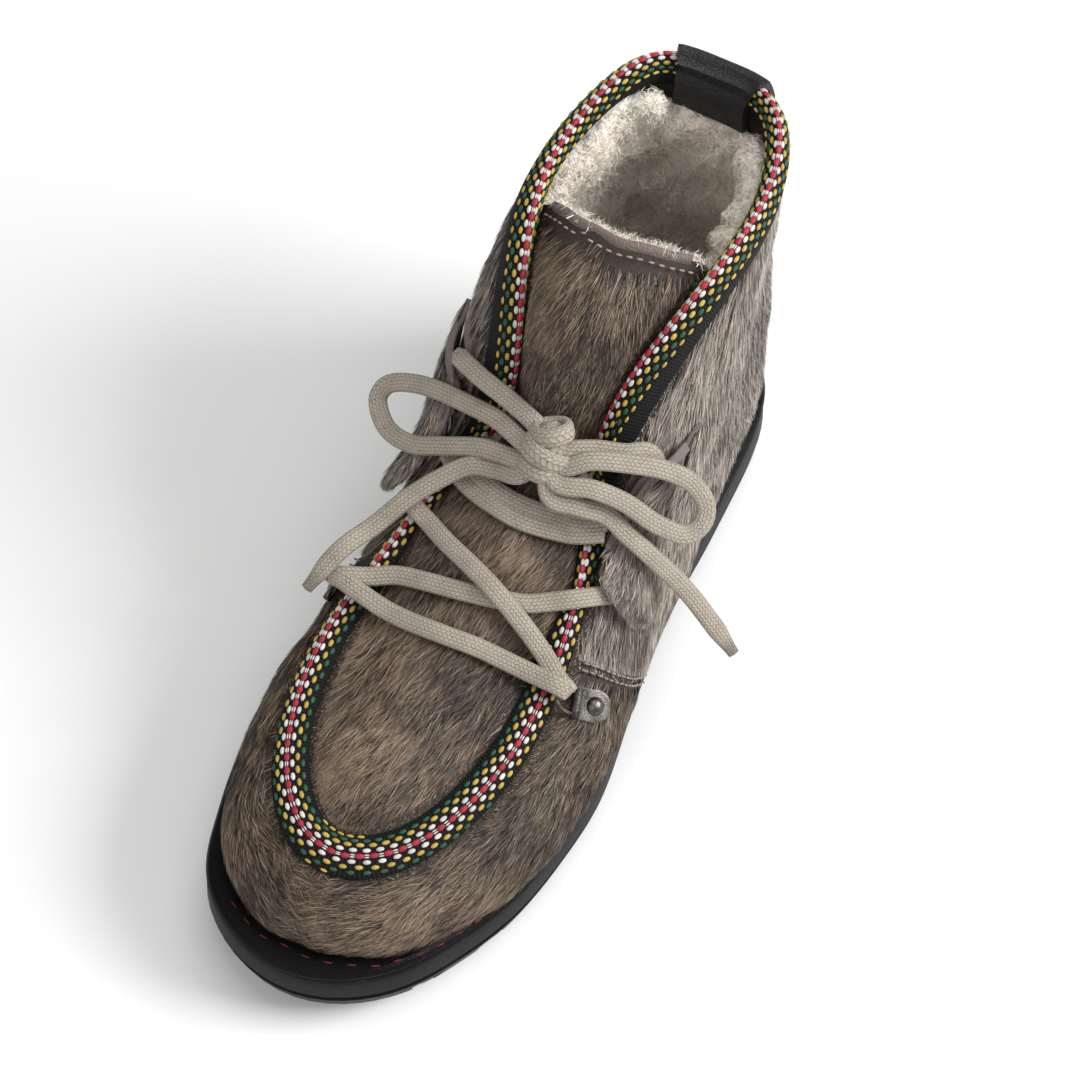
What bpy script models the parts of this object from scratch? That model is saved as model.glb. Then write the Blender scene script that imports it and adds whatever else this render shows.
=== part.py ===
"""Left ankle boot of hair-on hide with a fleece lining.

The toe points to -Y, the wearer's left is +X and the floor is z = 0. The origin
is on the floor under the middle of the heel. All sizes are in metres.
"""

import math
from collections import namedtuple

import bmesh
import bpy
import numpy as np
from mathutils import Matrix, Vector
from mathutils.bvhtree import BVHTree

# Last and sole
LENGTH = 0.288
HEEL_BEHIND = 0.038
BALL_WIDTH = 0.112
HEEL_HEIGHT = 0.030
FOREFOOT_HEIGHT = 0.027
TOE_SPRING = 0.008
ARCH_RISE = 0.007

# Upper
INSTEP_HEIGHT = 0.096
COLLAR_HEIGHT = 0.163
UPPER_WALL = 0.003
FLEECE = 0.007

# Gap between pieces that touch on the real boot, and between fleece and hide
GAP = 0.0003
FLEECE_GAP = 0.0008
LINING_FOOT = 0.004

# Woven braid over the collar's edge and the apron's seam
BRAID_THICKNESS = 0.0013
BRAID_OUTER_LEG = 0.0125
BRAID_INNER_LEG = 0.0085
BRAID_SEAM_LEG = 0.0068
BRAID_THROAT_LEG = 0.0022
BRAID_SEAM_RISE = 0.0045
BRAID_COLLAR_RISE = 0.0022

# Tongue
TONGUE_THICKNESS = 0.008
TONGUE_LAP = 0.012
TONGUE_RISE = 0.006
TONGUE_CLEARANCE = 0.007

# Pull tab over the back of the collar
TAB_WIDTH = 0.030
TAB_THICKNESS = 0.0018
TAB_OUTER_LEG = 0.024
TAB_INNER_LEG = 0.014

# Lace wings: pockets of hide beside the throat, open above and at the front below
WING_THICKNESS = 0.0018
WING_ROWS = 6

# Lace hooks: a plate under a domed rivet, a barrel beside it and a loop of wire
PLATE_RADIUS = 0.0052
PLATE_THICKNESS = 0.0010
RIVET_RADIUS = 0.0032
RIVET_RISE = 0.0022
BARREL_RADIUS = 0.0017
BARREL_LENGTH = 0.0095
BARREL_OFFSET = 0.0066
WIRE = 0.0016
LOOP_REACH = 0.0075
LOOP_TILT = math.radians(16)

# Lace, and how near two of its points are welded
LACE = 0.0044
WELD = 0.00001
KNOT_SIZE = (0.0120, 0.0096, 0.0200)
KNOT_LEAN = math.radians(-28)

# Sole unit
WELT_THICKNESS = 0.0035
WELT_BEAD = 0.0012
INSOLE_THICKNESS = 0.005
LUG_DEPTH = 0.0055
LUG_GROOVE = 0.007
GROOVE_TURN = math.radians(8)

# Facets: steps between two rows of a table, and rows up the upper's side
STEPS = 3
SIDE_ROWS = 6
APRON_ROWS = 8
LINING_ROWS = 4
LINING_APRON_ROWS = 4
TONGUE_COLUMNS = 10

# Shares of LENGTH for along, of BALL_WIDTH for across. A level of 0 is the feather
# line, 1 the instep's height and 2 the collar's. Round is how much a side follows a
# quarter ellipse. Bulge, waist and crown are shares of BALL_WIDTH.
Section = namedtuple(
    "Section",
    "along lateral medial edge_along edge_lateral edge_medial level round bulge medial_bulge waist crown",
)
SECTIONS = [
    Section(0.000, 0.000, 0.000, 0.035, 0.000, 0.000, 1.98, 0.00, 0.015, 0.015, 0.015, 0.00),
    Section(0.022, 0.185, 0.175, 0.041, 0.125, 0.135, 1.995, 0.00, 0.000, 0.025, 0.008, 0.00),
    Section(0.090, 0.300, 0.290, 0.083, 0.240, 0.230, 2.02, 0.00, -0.004, 0.055, 0.000, 0.00),
    Section(0.195, 0.342, 0.310, 0.167, 0.305, 0.290, 1.97, 0.05, -0.004, 0.095, 0.000, 0.00),
    Section(0.300, 0.370, 0.305, 0.278, 0.290, 0.280, 1.92, 0.15, 0.018, 0.125, 0.000, 0.12),
    Section(0.385, 0.392, 0.315, 0.371, 0.205, 0.200, 1.62, 0.30, 0.055, 0.110, 0.000, 0.10),
    Section(0.465, 0.414, 0.340, 0.417, 0.158, 0.158, 1.27, 0.45, 0.065, 0.090, 0.000, 0.08),
    Section(0.545, 0.440, 0.375, 0.450, 0.160, 0.185, 1.00, 0.60, 0.055, 0.065, 0.000, 0.08),
    Section(0.625, 0.461, 0.405, 0.530, 0.235, 0.255, 0.78, 0.75, 0.040, 0.040, 0.000, 0.09),
    Section(0.710, 0.455, 0.425, 0.625, 0.272, 0.320, 0.58, 0.85, 0.035, 0.030, 0.000, 0.09),
    Section(0.795, 0.410, 0.425, 0.710, 0.272, 0.330, 0.48, 0.90, 0.035, 0.030, 0.000, 0.08),
    Section(0.875, 0.315, 0.375, 0.797, 0.215, 0.275, 0.42, 0.90, 0.035, 0.030, 0.000, 0.07),
    Section(0.937, 0.165, 0.260, 0.862, 0.105, 0.165, 0.38, 0.90, 0.035, 0.035, 0.000, 0.02),
    Section(0.962, -0.045, 0.045, 0.885, -0.035, 0.035, 0.37, 0.90, 0.035, 0.035, 0.000, 0.00),
]
TONGUE_TOP_ROW = 4
THROAT_ROW = 7

# The outsole's widest outline, in the same shares
Outline = namedtuple("Outline", "along lateral medial")
OUTLINE = [
    Outline(0.000, 0.000, 0.000),
    Outline(0.020, 0.180, 0.170),
    Outline(0.085, 0.325, 0.310),
    Outline(0.190, 0.362, 0.345),
    Outline(0.300, 0.374, 0.340),
    Outline(0.385, 0.384, 0.345),
    Outline(0.465, 0.404, 0.370),
    Outline(0.545, 0.436, 0.410),
    Outline(0.625, 0.470, 0.445),
    Outline(0.710, 0.460, 0.475),
    Outline(0.795, 0.424, 0.482),
    Outline(0.875, 0.345, 0.430),
    Outline(0.955, 0.210, 0.330),
    Outline(1.000, -0.055, 0.055),
]

# The sole's side from the floor up: share of its height, and how far in from the outline
SideStep = namedtuple("SideStep", "level inset")
SIDE_STEPS = [
    SideStep(0.00, 0.0050),
    SideStep(0.12, 0.0020),
    SideStep(0.40, 0.0004),
    SideStep(0.44, 0.0014),
    SideStep(0.50, 0.0014),
    SideStep(0.54, 0.0000),
    SideStep(0.92, 0.0008),
    SideStep(1.00, 0.0020),
]

# Braid along half the loop, from the heel, row 0, to the toe: legs in metres, and fold,
# which is 1 where it wraps a free edge and 0 where it lies over the apron's seam
BraidRow = namedtuple("BraidRow", "row outer_leg inner_leg fold")
BRAID_ROWS = [
    BraidRow(0.0, BRAID_OUTER_LEG, BRAID_INNER_LEG, 1.0),
    BraidRow(5.0, BRAID_OUTER_LEG, BRAID_INNER_LEG, 1.0),
    BraidRow(6.0, BRAID_OUTER_LEG, BRAID_THROAT_LEG, 1.0),
    BraidRow(6.7, BRAID_OUTER_LEG, GAP, 1.0),
    BraidRow(7.0, BRAID_OUTER_LEG, BRAID_THROAT_LEG, 0.0),
    BraidRow(8.0, BRAID_SEAM_LEG, BRAID_THROAT_LEG, 0.0),
    BraidRow(8.7, BRAID_SEAM_LEG, BRAID_SEAM_LEG, 0.0),
    BraidRow(13.0, BRAID_SEAM_LEG, BRAID_SEAM_LEG, 0.0),
]

# Half of the braid's profile from its edge to its crest: share of the leg that is left,
# and the height over the hide as shares of the seam's rise and of the braid's thickness
BraidStep = namedtuple("BraidStep", "leg seam collar")
BRAID_STEPS = [
    BraidStep(1.00, 0.20, 1.00),
    BraidStep(0.60, 0.72, 1.15),
    BraidStep(0.18, 0.97, 1.45),
]

# The tongue from the throat up: share of its height, how far its sides reach past the
# throat's edges as a share of the lap, and how deep they lie as a share of their depth
TongueRow = namedtuple("TongueRow", "height reach depth")
TONGUE_ROWS = [
    TongueRow(0.00, -0.45, 0.00),
    TongueRow(0.12, -0.40, 0.30),
    TongueRow(0.30, -0.10, 1.00),
    TongueRow(0.50, 1.00, 1.00),
    TongueRow(1.00, 1.00, 1.00),
]

# How far the fleece stops short of the upper's edge, by row from the heel
FleeceRow = namedtuple("FleeceRow", "row short")
FLEECE_ROWS = [
    FleeceRow(0.0, TAB_INNER_LEG + 2 * FLEECE_GAP),
    FleeceRow(1.4, TAB_INNER_LEG + 2 * FLEECE_GAP),
    FleeceRow(1.7, BRAID_INNER_LEG + 2 * FLEECE_GAP),
    FleeceRow(3.0, BRAID_INNER_LEG + 2 * FLEECE_GAP),
    FleeceRow(4.0, TONGUE_LAP + TONGUE_CLEARANCE),
    FleeceRow(7.0, TONGUE_LAP + TONGUE_CLEARANCE),
    FleeceRow(7.6, FLEECE_GAP),
    FleeceRow(13.0, 0.0),
]

# Lace wings: the ends of the slit above, and the front, middle and rear of the lobe
# below, each near the hide, as shares of LENGTH, BALL_WIDTH and INSTEP_HEIGHT
Wing = namedtuple("Wing", "name slit_front slit_rear front low rear")
WINGS = [
    Wing("lace_wing_lateral", (0.4167, 0.2545, 1.1250), (0.3351, 0.3393, 1.1458),
         (0.5069, 0.2545, 0.8750), (0.5174, 0.3839, 0.7188), (0.4097, 0.3973, 0.7083)),
    Wing("lace_wing_medial", (0.4062, -0.2589, 1.1250), (0.3056, -0.3661, 1.1250),
         (0.4965, -0.2768, 0.8542), (0.4913, -0.3661, 0.7240), (0.3889, -0.3929, 0.6979)),
]

# Height of a wing's inner face over the hide as a share of LACE, from its front edge to
# its rear one, at the slit and at the lobe
WingRise = namedtuple("WingRise", "back slit lobe")
WING_RISES = [
    WingRise(0.00, 0.591, 1.455),
    WingRise(0.20, 1.136, 1.545),
    WingRise(0.40, 1.045, 1.182),
    WingRise(0.65, 0.455, 0.409),
    WingRise(0.85, 0.114, 0.114),
    WingRise(1.00, 0.114, 0.114),
]

# Lace hooks: where the rivet sits and where the wire loop reaches to, in the same shares
Hook = namedtuple("Hook", "name rivet loop")
HOOKS = [
    Hook("lace_hook_lateral", (0.6167, 0.4071, 0.6719), (0.6309, 0.3268, 0.6979)),
    Hook("lace_hook_medial", (0.6128, -0.4420, 0.6354), (0.6267, -0.3616, 0.6927)),
]

# Routes of the lace's centre line, in metres, read from the photo
KNOT = (0.0045, -0.0950, 0.1190)
LACES = {
    "lace_run_lateral": [
        (0.0115, -0.0920, 0.1195), (0.0178, -0.0880, 0.1188), (0.0252, -0.0848, 0.1180),
        (0.0308, -0.0797, 0.1156), (0.0341, -0.0787, 0.1091), (0.0355, -0.0810, 0.1037),
    ],
    "lace_run_medial": [
        (-0.0016, -0.0916, 0.1236), (-0.0125, -0.0870, 0.1222), (-0.0235, -0.0838, 0.1218),
        (-0.0335, -0.0786, 0.1185), (-0.0360, -0.0745, 0.1122), (-0.0363, -0.0775, 0.1062),
    ],
    "lace_loop_medial": [
        (-0.0022, -0.0965, 0.1190), (-0.0140, -0.0918, 0.1170), (-0.0256, -0.0885, 0.1125),
        (-0.0376, -0.0858, 0.1080), (-0.0480, -0.0844, 0.1030), (-0.0560, -0.0853, 0.0978),
        (-0.0575, -0.0895, 0.0932), (-0.0505, -0.0962, 0.0915), (-0.0400, -0.0996, 0.0948),
        (-0.0290, -0.0992, 0.1012), (-0.0160, -0.0985, 0.1090), (-0.0020, -0.0992, 0.1140),
    ],
    "lace_loop_lateral": [
        (0.0115, -0.0972, 0.1172), (0.0185, -0.0937, 0.1209), (0.0284, -0.0888, 0.1200),
        (0.0382, -0.0838, 0.1170), (0.0463, -0.0810, 0.1120), (0.0524, -0.0824, 0.1060),
        (0.0535, -0.0870, 0.1016), (0.0498, -0.0918, 0.1002), (0.0414, -0.0950, 0.1050),
        (0.0320, -0.0965, 0.1112), (0.0220, -0.0988, 0.1145), (0.0115, -0.1015, 0.1140),
    ],
    "lace_end_medial": [
        (-0.0005, -0.1030, 0.1118), (-0.0090, -0.1020, 0.1068), (-0.0172, -0.1030, 0.1042),
        (-0.0240, -0.1082, 0.0998), (-0.0319, -0.1162, 0.0928), (-0.0385, -0.1252, 0.0850),
        (-0.0443, -0.1375, 0.0827), (-0.0498, -0.1493, 0.0726),
    ],
    "lace_end_lateral": [
        (0.0105, -0.1045, 0.1100), (0.0190, -0.1028, 0.1082), (0.0275, -0.0998, 0.1055),
        (0.0350, -0.1005, 0.1012), (0.0425, -0.1002, 0.0955), (0.0545, -0.0985, 0.0825),
        (0.0645, -0.0996, 0.0730), (0.0752, -0.1017, 0.0630),
    ],
}

# Laces that are drawn tight: each row is one node, and its strands are joined
CROSSINGS = {
    "lace_crossings": [
        [(0.0366, -0.1113, 0.0826), (0.0290, -0.1200, 0.0870), (0.0211, -0.1248, 0.0856),
         (0.0150, -0.1284, 0.0852), (0.0056, -0.1320, 0.0864), (-0.0050, -0.1342, 0.0858),
         (-0.0146, -0.1350, 0.0838), (-0.0250, -0.1358, 0.0806), (-0.0330, -0.1392, 0.0785),
         (-0.0400, -0.1420, 0.0776), (-0.0440, -0.1428, 0.0758)],
        [(-0.0440, -0.1428, 0.0758), (-0.0400, -0.1438, 0.0776), (-0.0323, -0.1452, 0.0774),
         (-0.0235, -0.1464, 0.0770), (-0.0149, -0.1474, 0.0788), (-0.0031, -0.1474, 0.0806),
         (0.0079, -0.1460, 0.0798), (0.0176, -0.1450, 0.0778), (0.0271, -0.1448, 0.0772),
         (0.0346, -0.1449, 0.0776), (0.0386, -0.1441, 0.0757)],
        [(0.0386, -0.1441, 0.0757), (0.0346, -0.1430, 0.0776), (0.0266, -0.1378, 0.0790),
         (0.0163, -0.1338, 0.0842), (0.0053, -0.1312, 0.0914), (-0.0058, -0.1268, 0.0912),
         (-0.0155, -0.1225, 0.0892), (-0.0239, -0.1180, 0.0874), (-0.0306, -0.1154, 0.0882),
         (-0.0362, -0.1103, 0.0846)],
    ],
    "lace_strands": [
        [(-0.0276, -0.0985, 0.0973), (-0.0178, -0.1006, 0.0980), (-0.0071, -0.1050, 0.1002),
         (0.0031, -0.1057, 0.1000), (0.0134, -0.1030, 0.0978), (0.0205, -0.1020, 0.0986)],
        [(-0.0276, -0.0985, 0.0973), (-0.0183, -0.1046, 0.0959), (-0.0053, -0.1091, 0.0984),
         (0.0048, -0.1095, 0.0978), (0.0150, -0.1063, 0.0953), (0.0205, -0.1051, 0.0962)],
    ],
}

# Grooves between the tread's lugs, as shares of LENGTH
GROOVES = [0.075, 0.165, 0.615, 0.708, 0.806, 0.892]

Material = namedtuple("Material", "colour roughness metallic")
FINISHES = {
    "hide": Material((0.20, 0.155, 0.115), 0.75, 0.0),
    "fleece": Material((0.78, 0.72, 0.64), 0.95, 0.0),
    "rubber": Material((0.018, 0.018, 0.022), 0.45, 0.0),
    "braid": Material((0.10, 0.02, 0.03), 0.70, 0.0),
    "leather": Material((0.015, 0.014, 0.014), 0.50, 0.0),
    "cotton": Material((0.52, 0.46, 0.38), 0.85, 0.0),
    "steel": Material((0.30, 0.29, 0.27), 0.30, 1.0),
}


def clear_scene():
    for item in list(bpy.data.objects):
        bpy.data.objects.remove(item, do_unlink=True)


def make_collection(name):
    group = bpy.data.collections.new(name)
    bpy.context.scene.collection.children.link(group)
    return group


def finish(name):
    """The Principled material of a finish, made once."""
    if name in bpy.data.materials:
        return bpy.data.materials[name]
    look = FINISHES[name]
    material = bpy.data.materials.new(name)
    material.use_nodes = True
    shader = material.node_tree.nodes["Principled BSDF"]
    shader.inputs["Base Color"].default_value = (*look.colour, 1.0)
    shader.inputs["Roughness"].default_value = look.roughness
    shader.inputs["Metallic"].default_value = look.metallic
    return material


def add_object(name, mesh, look):
    item = bpy.data.objects.new(name, mesh)
    mesh.materials.append(finish(look))
    mesh.shade_smooth()
    boot.objects.link(item)
    return item


def move_to(group, item):
    for old in list(item.users_collection):
        old.objects.unlink(item)
    group.objects.link(item)


def cylinder(radius, depth, vertices):
    bpy.ops.mesh.primitive_cylinder_add(vertices=vertices, radius=radius, depth=depth)
    return bpy.context.object


def box():
    bpy.ops.mesh.primitive_cube_add(size=1)
    return bpy.context.object


def combine(owner, name, operand, operation):
    """Join an operand to its owner, or cut it away, and keep it among the cutters."""
    operand.name = f"{owner.name}_{name}"
    operand.hide_render = True
    operand.display_type = "WIRE"
    move_to(cutters, operand)
    step = owner.modifiers.new(name, "BOOLEAN")
    step.operation = operation
    step.object = operand


def make_mesh(name, points, faces):
    mesh = bpy.data.meshes.new(name)
    mesh.from_pydata([tuple(float(c) for c in p) for p in points], [], faces)
    mesh.validate()
    return mesh


def smooth_loop(rows, steps):
    """A closed cubic curve through the rows, with steps points from each to the next."""
    rows = np.array(rows, float)
    count = len(rows)
    spread = 4 * np.eye(count) + np.roll(np.eye(count), 1, 1) + np.roll(np.eye(count), -1, 1)
    slopes = np.linalg.solve(spread, 3 * (np.roll(rows, -1, 0) - np.roll(rows, 1, 0)))
    start, end = rows, np.roll(rows, -1, 0)
    leave, arrive = slopes, np.roll(slopes, -1, 0)
    parts = []
    for t in np.arange(steps) / steps:
        parts.append(
            (2 * t**3 - 3 * t**2 + 1) * start
            + (t**3 - 2 * t**2 + t) * leave
            + (3 * t**2 - 2 * t**3) * end
            + (t**3 - t**2) * arrive
        )
    return np.stack(parts, 1).reshape(count * steps, -1)


def both_sides(table, lateral_row, medial_row):
    """Rows of a table from the heel along the lateral side to the toe, and back medially."""
    lateral = [lateral_row(row) for row in table]
    medial = [medial_row(row) for row in table[-2:0:-1]]
    return lateral + medial


def unit(vectors):
    return vectors / np.maximum(np.linalg.norm(vectors, axis=-1, keepdims=True), 1e-9)


def ease(value):
    """0 to 1 with level ends."""
    value = np.clip(value, 0, 1)
    return value * value * (3 - 2 * value)


def along_to_y(along):
    return HEEL_BEHIND - along * LENGTH


def spot(shares):
    """A place from its shares of LENGTH, BALL_WIDTH and INSTEP_HEIGHT."""
    along, across, height = shares
    return np.array([across * BALL_WIDTH, along_to_y(along), height * INSTEP_HEIGHT])


def sole_top(along):
    """Height of the sole's upper face above the floor."""
    drop = (FOREFOOT_HEIGHT - HEEL_HEIGHT) * ease((along - 0.2) / 0.4)
    return HEEL_HEIGHT + drop + TOE_SPRING * ease((along - 0.7) / 0.4)


def sole_bottom(along):
    """Height of the sole's tread above the floor: flat heel and ball, arch and toe spring."""
    arch = ARCH_RISE * ease((along - 0.27) / 0.08) * ease((0.50 - along) / 0.08)
    return arch + TOE_SPRING * ease((along - 0.78) / 0.30)


def outward(loop):
    """Level unit vectors that point out of a closed loop seen from above."""
    run = unit((np.roll(loop, -1, 0) - np.roll(loop, 1, 0))[:, :2])
    return np.stack([-run[:, 1], run[:, 0], np.zeros(len(run))], 1)


class Last:
    """The upper's outer surface: a closed band of sides, and rungs across the apron."""

    def __init__(self):
        def row(part, across, edge_across, bulge):
            return (part.along, across, part.edge_along, edge_across, part.level,
                    part.round, bulge, part.waist, part.crown)

        rows = both_sides(
            SECTIONS,
            lambda s: row(s, s.lateral, s.edge_lateral, s.bulge),
            lambda s: row(s, -s.medial, -s.edge_medial, s.medial_bulge),
        )
        table = smooth_loop(rows, STEPS)
        along, across, edge_along, edge_across, level, self.round, bulge, waist, crown = table.T
        self.count = len(table)
        self.toe = self.count // 2
        self.throat = THROAT_ROW * STEPS
        self.row = np.minimum(np.arange(self.count), self.count - np.arange(self.count)) / STEPS
        self.along = along
        self.feather = np.stack(
            [across * BALL_WIDTH, along_to_y(along), sole_top(along) + GAP], 1
        )
        above = 2 * COLLAR_HEIGHT - INSTEP_HEIGHT
        rise = np.interp(level, [0, 1, 2, 3], [HEEL_HEIGHT, INSTEP_HEIGHT, COLLAR_HEIGHT, above])
        self.edge = np.stack([edge_across * BALL_WIDTH, along_to_y(edge_along), rise], 1)
        self.out = outward(self.feather)
        self.bulge = bulge * BALL_WIDTH
        self.waist = np.maximum(waist, 0) * BALL_WIDTH
        self.crown = np.maximum(crown, 0) * BALL_WIDTH
        self.climb = np.linspace(0, 1, 41)
        climb = np.linalg.norm(np.diff(self.side(self.climb), axis=1), axis=2)
        self.reach = np.cumsum(np.pad(climb, ((0, 0), (1, 0))), axis=1)

    def below(self, distance):
        """The share of each side that lies this distance down from its edge."""
        left = self.reach[:, -1] - distance
        return np.array([np.interp(left[i], self.reach[i], self.climb) for i in range(self.count)])

    def side(self, shares):
        """Points at these shares of the way up each side, as stations by shares by 3."""
        v = np.broadcast_to(np.atleast_2d(shares), (self.count, np.shape(shares)[-1]))[..., None]
        low, high = self.feather[:, None], self.edge[:, None]
        straight = low + (high - low) * v
        turn = np.concatenate([1 - np.cos(v * math.pi / 2)] * 2 + [np.sin(v * math.pi / 2)], 2)
        curved = low + (high - low) * turn
        mix = self.round[:, None, None]
        swell = self.bulge[:, None, None] * np.sin(math.pi * v)
        swell = swell + self.waist[:, None, None] * np.sin(2 * math.pi * v)
        return straight * (1 - mix) + curved * mix + self.out[:, None] * swell

    def away(self, place):
        """The outward direction of the side nearest a place."""
        _, normal, _, _ = self.skin_tree.find_nearest(Vector(place))
        return np.array(normal)

    def rung(self, station, shares):
        """Points across from one edge, share 0, to the other, with the upward normal."""
        left, right = self.edge[station], self.edge[-station % self.count]
        ahead = self.edge[(station + 1) % self.count] + self.edge[-(station + 1) % self.count]
        behind = self.edge[station - 1] + self.edge[-(station - 1) % self.count]
        up = unit(np.cross(right - left, ahead - behind))
        up = up * np.sign(up[2])
        s = np.asarray(shares, float)[:, None]
        return left + (right - left) * s + up * self.crown[station] * np.sin(math.pi * s), up

    def rung_normal(self, station):
        """The apron's upward normal beside its edge."""
        if station in (0, self.toe):
            station += 1
        edge = self.edge[station]
        along = self.edge[(station + 1) % self.count] - self.edge[station - 1]
        inward = self.rung(station, [1 / APRON_ROWS])[0][0] - edge
        up = unit(np.cross(along, inward))
        return up * np.sign(up[2])


def surface(last, shares, first_rung, columns):
    """The outer surface as points and faces: sides at these shares, and the apron."""
    rows = shares.shape[1] - 1
    count = last.count
    points = list(last.side(shares).reshape(-1, 3))

    def at(station, row):
        return (station % count) * (rows + 1) + row

    faces = []
    for station in range(count):
        for row in range(rows):
            faces.append((at(station, row), at(station, row + 1), at(station + 1, row + 1),
                          at(station + 1, row)))
    across = np.linspace(0, 1, columns + 1)
    rungs = []
    for station in range(first_rung, last.toe):
        inner = range(len(points), len(points) + columns - 1)
        points.extend(last.rung(station, across)[0][1:-1])
        rungs.append([at(station, rows), *inner, at(-station, rows)])
    for rear, front in zip(rungs, rungs[1:]):
        for i in range(columns):
            faces.append((rear[i], rear[i + 1], front[i + 1], front[i]))
    tip = at(last.toe, rows)
    for i in range(columns):
        faces.append((rungs[-1][i], rungs[-1][i + 1], tip))
    return points, faces


def shell(name, points, faces, look, sink, thickness):
    """A sheet set in by sink, and made solid inwards by thickness."""
    item = add_object(name, make_mesh(name, points, faces), look)
    if sink:
        inset = item.modifiers.new("sink", "DISPLACE")
        inset.direction = "NORMAL"
        inset.mid_level = 0
        inset.strength = -sink
    wall = item.modifiers.new("wall", "SOLIDIFY")
    wall.thickness = thickness
    wall.offset = -1
    return item


def make_upper(last):
    """Its last row of facets is the strip that the braid's outer leg lies on."""
    seat = last.below(braid_columns(last)[0])
    shares = np.pad(seat[:, None] * np.linspace(0, 1, SIDE_ROWS), ((0, 0), (0, 1)), constant_values=1)
    points, faces = surface(last, shares, last.throat, APRON_ROWS)
    last.skin_tree = BVHTree.FromPolygons(points, faces)
    return shell("upper", points, faces, "hide", 0, UPPER_WALL)


def make_lining(last):
    """The fleece sock inside the upper, short of the braid and of the tongue's sides."""
    short = np.interp(last.row, [r.row for r in FLEECE_ROWS], [r.short for r in FLEECE_ROWS])
    low = LINING_FOOT / last.reach[:, -1]
    high = last.below(short)
    shares = low[:, None] + (high - low)[:, None] * np.linspace(0, 1, LINING_ROWS + 1)
    points, faces = surface(last, shares, last.throat + 2, LINING_APRON_ROWS)
    sink = UPPER_WALL + FLEECE_GAP
    return shell("fleece_lining", points, faces, "fleece", sink, FLEECE)


def ring_faces(rings, points_each, closed):
    """Faces between neighbouring profiles of equal length, each profile being closed."""
    faces = []
    for i in range(rings if closed else rings - 1):
        start, end = i * points_each, (i + 1) % rings * points_each
        for j in range(points_each):
            k = (j + 1) % points_each
            faces.append((start + k, end + k, end + j, start + j))
    return faces


def make_solid(name, points, faces, look):
    """A closed mesh whose faces are turned outwards."""
    mesh = make_mesh(name, points, faces)
    work = bmesh.new()
    work.from_mesh(mesh)
    bmesh.ops.recalc_face_normals(work, faces=work.faces)
    work.to_mesh(mesh)
    work.free()
    return add_object(name, mesh, look)


def sweep(name, profiles, look, closed):
    """A solid through a row of closed profiles, which meet or are capped by strips."""
    rings, points_each = profiles.shape[:2]
    faces = ring_faces(rings, points_each, closed)
    if not closed:
        for base in (0, (rings - 1) * points_each):
            for i in range(points_each // 2 - 1):
                back = base + points_each - 1 - i
                faces.append((base + i, base + i + 1, back - 1, back))
    return make_solid(name, profiles.reshape(-1, 3), faces, look)


def plate(name, loops, look):
    """A solid through level loops, closed below and above by strips across the foot."""
    rings, count = loops.shape[:2]
    faces = ring_faces(rings, count, False)
    for base in (0, (rings - 1) * count):
        half = count // 2
        faces.append((base, base + 1, base + count - 1))
        for i in range(1, half - 1):
            faces.append((base + i, base + i + 1, base + count - i - 1, base + count - i))
        faces.append((base + half - 1, base + half, base + half + 1))
    return make_solid(name, loops.reshape(-1, 3), faces, look)


def saddle(last, lift, top_lift, thickness, rise_seam, rise_collar, outer, inner, fold):
    """Closed profiles that straddle the upper's edge.

    They stand lift off its two faces and top_lift off its edge, and run over the top
    from the outer edge to the inner one, then back underneath.
    """
    reach = np.array([step.leg for step in BRAID_STEPS])
    edge = last.edge
    outer_end = last.side(last.below(outer)[:, None])[:, 0]
    inner_end = last.side(last.below(inner)[:, None])[:, 0]
    tangent = np.roll(edge, -1, 0) - np.roll(edge, 1, 0)
    down = unit(outer_end - edge)
    edge_normal = unit(np.cross(tangent, down))
    apron_normal = np.array([last.rung_normal(station) for station in range(last.count)])
    apron_end = edge + unit(np.cross(tangent, apron_normal)) * inner[:, None]
    for station in range(last.throat, last.count - last.throat + 1):
        above = Vector(apron_end[station] + [0, 0, INSTEP_HEIGHT])
        place, normal, _, _ = last.skin_tree.ray_cast(above, Vector((0, 0, -1)))
        if place and normal.z > 0.3:
            apron_end[station] = place
    wrap = fold[:, None]
    crest = unit((edge_normal + apron_normal) * (1 - wrap) - down * wrap)

    def outer_at(step, height):
        return edge + (outer_end - edge) * reach[step] + edge_normal * height[:, None]

    def inner_at(step, height):
        over = edge + (apron_end - edge) * reach[step] + apron_normal * height[:, None]
        under = edge + (inner_end - edge) * reach[step]
        under = under - edge_normal * (UPPER_WALL + GAP + height)[:, None]
        return over * (1 - wrap) + under * wrap

    def height_at(step):
        seam = lift + step.seam * rise_seam
        return seam * (1 - fold) + (lift + thickness * step.collar) * fold

    heights = [height_at(step) for step in BRAID_STEPS]
    flat = np.full(last.count, lift)
    peak = (lift + rise_seam) * (1 - fold) + (top_lift + thickness + rise_collar) * fold
    middle = edge - edge_normal * (UPPER_WALL / 2) * wrap
    steps = range(len(BRAID_STEPS))
    top = [outer_at(i, heights[i]) for i in steps]
    top.append(middle + crest * peak[:, None])
    top += [inner_at(i, heights[i]) for i in reversed(steps)]
    seat_out = edge + edge_normal * lift + crest * top_lift * wrap
    seat_top = middle + crest * top_lift
    seat_in = (edge + apron_normal * lift) * (1 - wrap)
    behind = edge - edge_normal * (UPPER_WALL + GAP + lift) + crest * top_lift
    seat_in = seat_in + behind * wrap
    under = [inner_at(0, flat), seat_in, seat_top, seat_out, outer_at(0, flat)]
    return np.stack(top + under, 1)


def braid_columns(last):
    rows = [r.row for r in BRAID_ROWS]
    outer = np.interp(last.row, rows, [r.outer_leg for r in BRAID_ROWS])
    inner = np.interp(last.row, rows, [r.inner_leg for r in BRAID_ROWS])
    fold = np.interp(last.row, rows, [r.fold for r in BRAID_ROWS])
    return outer, inner, fold


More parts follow.
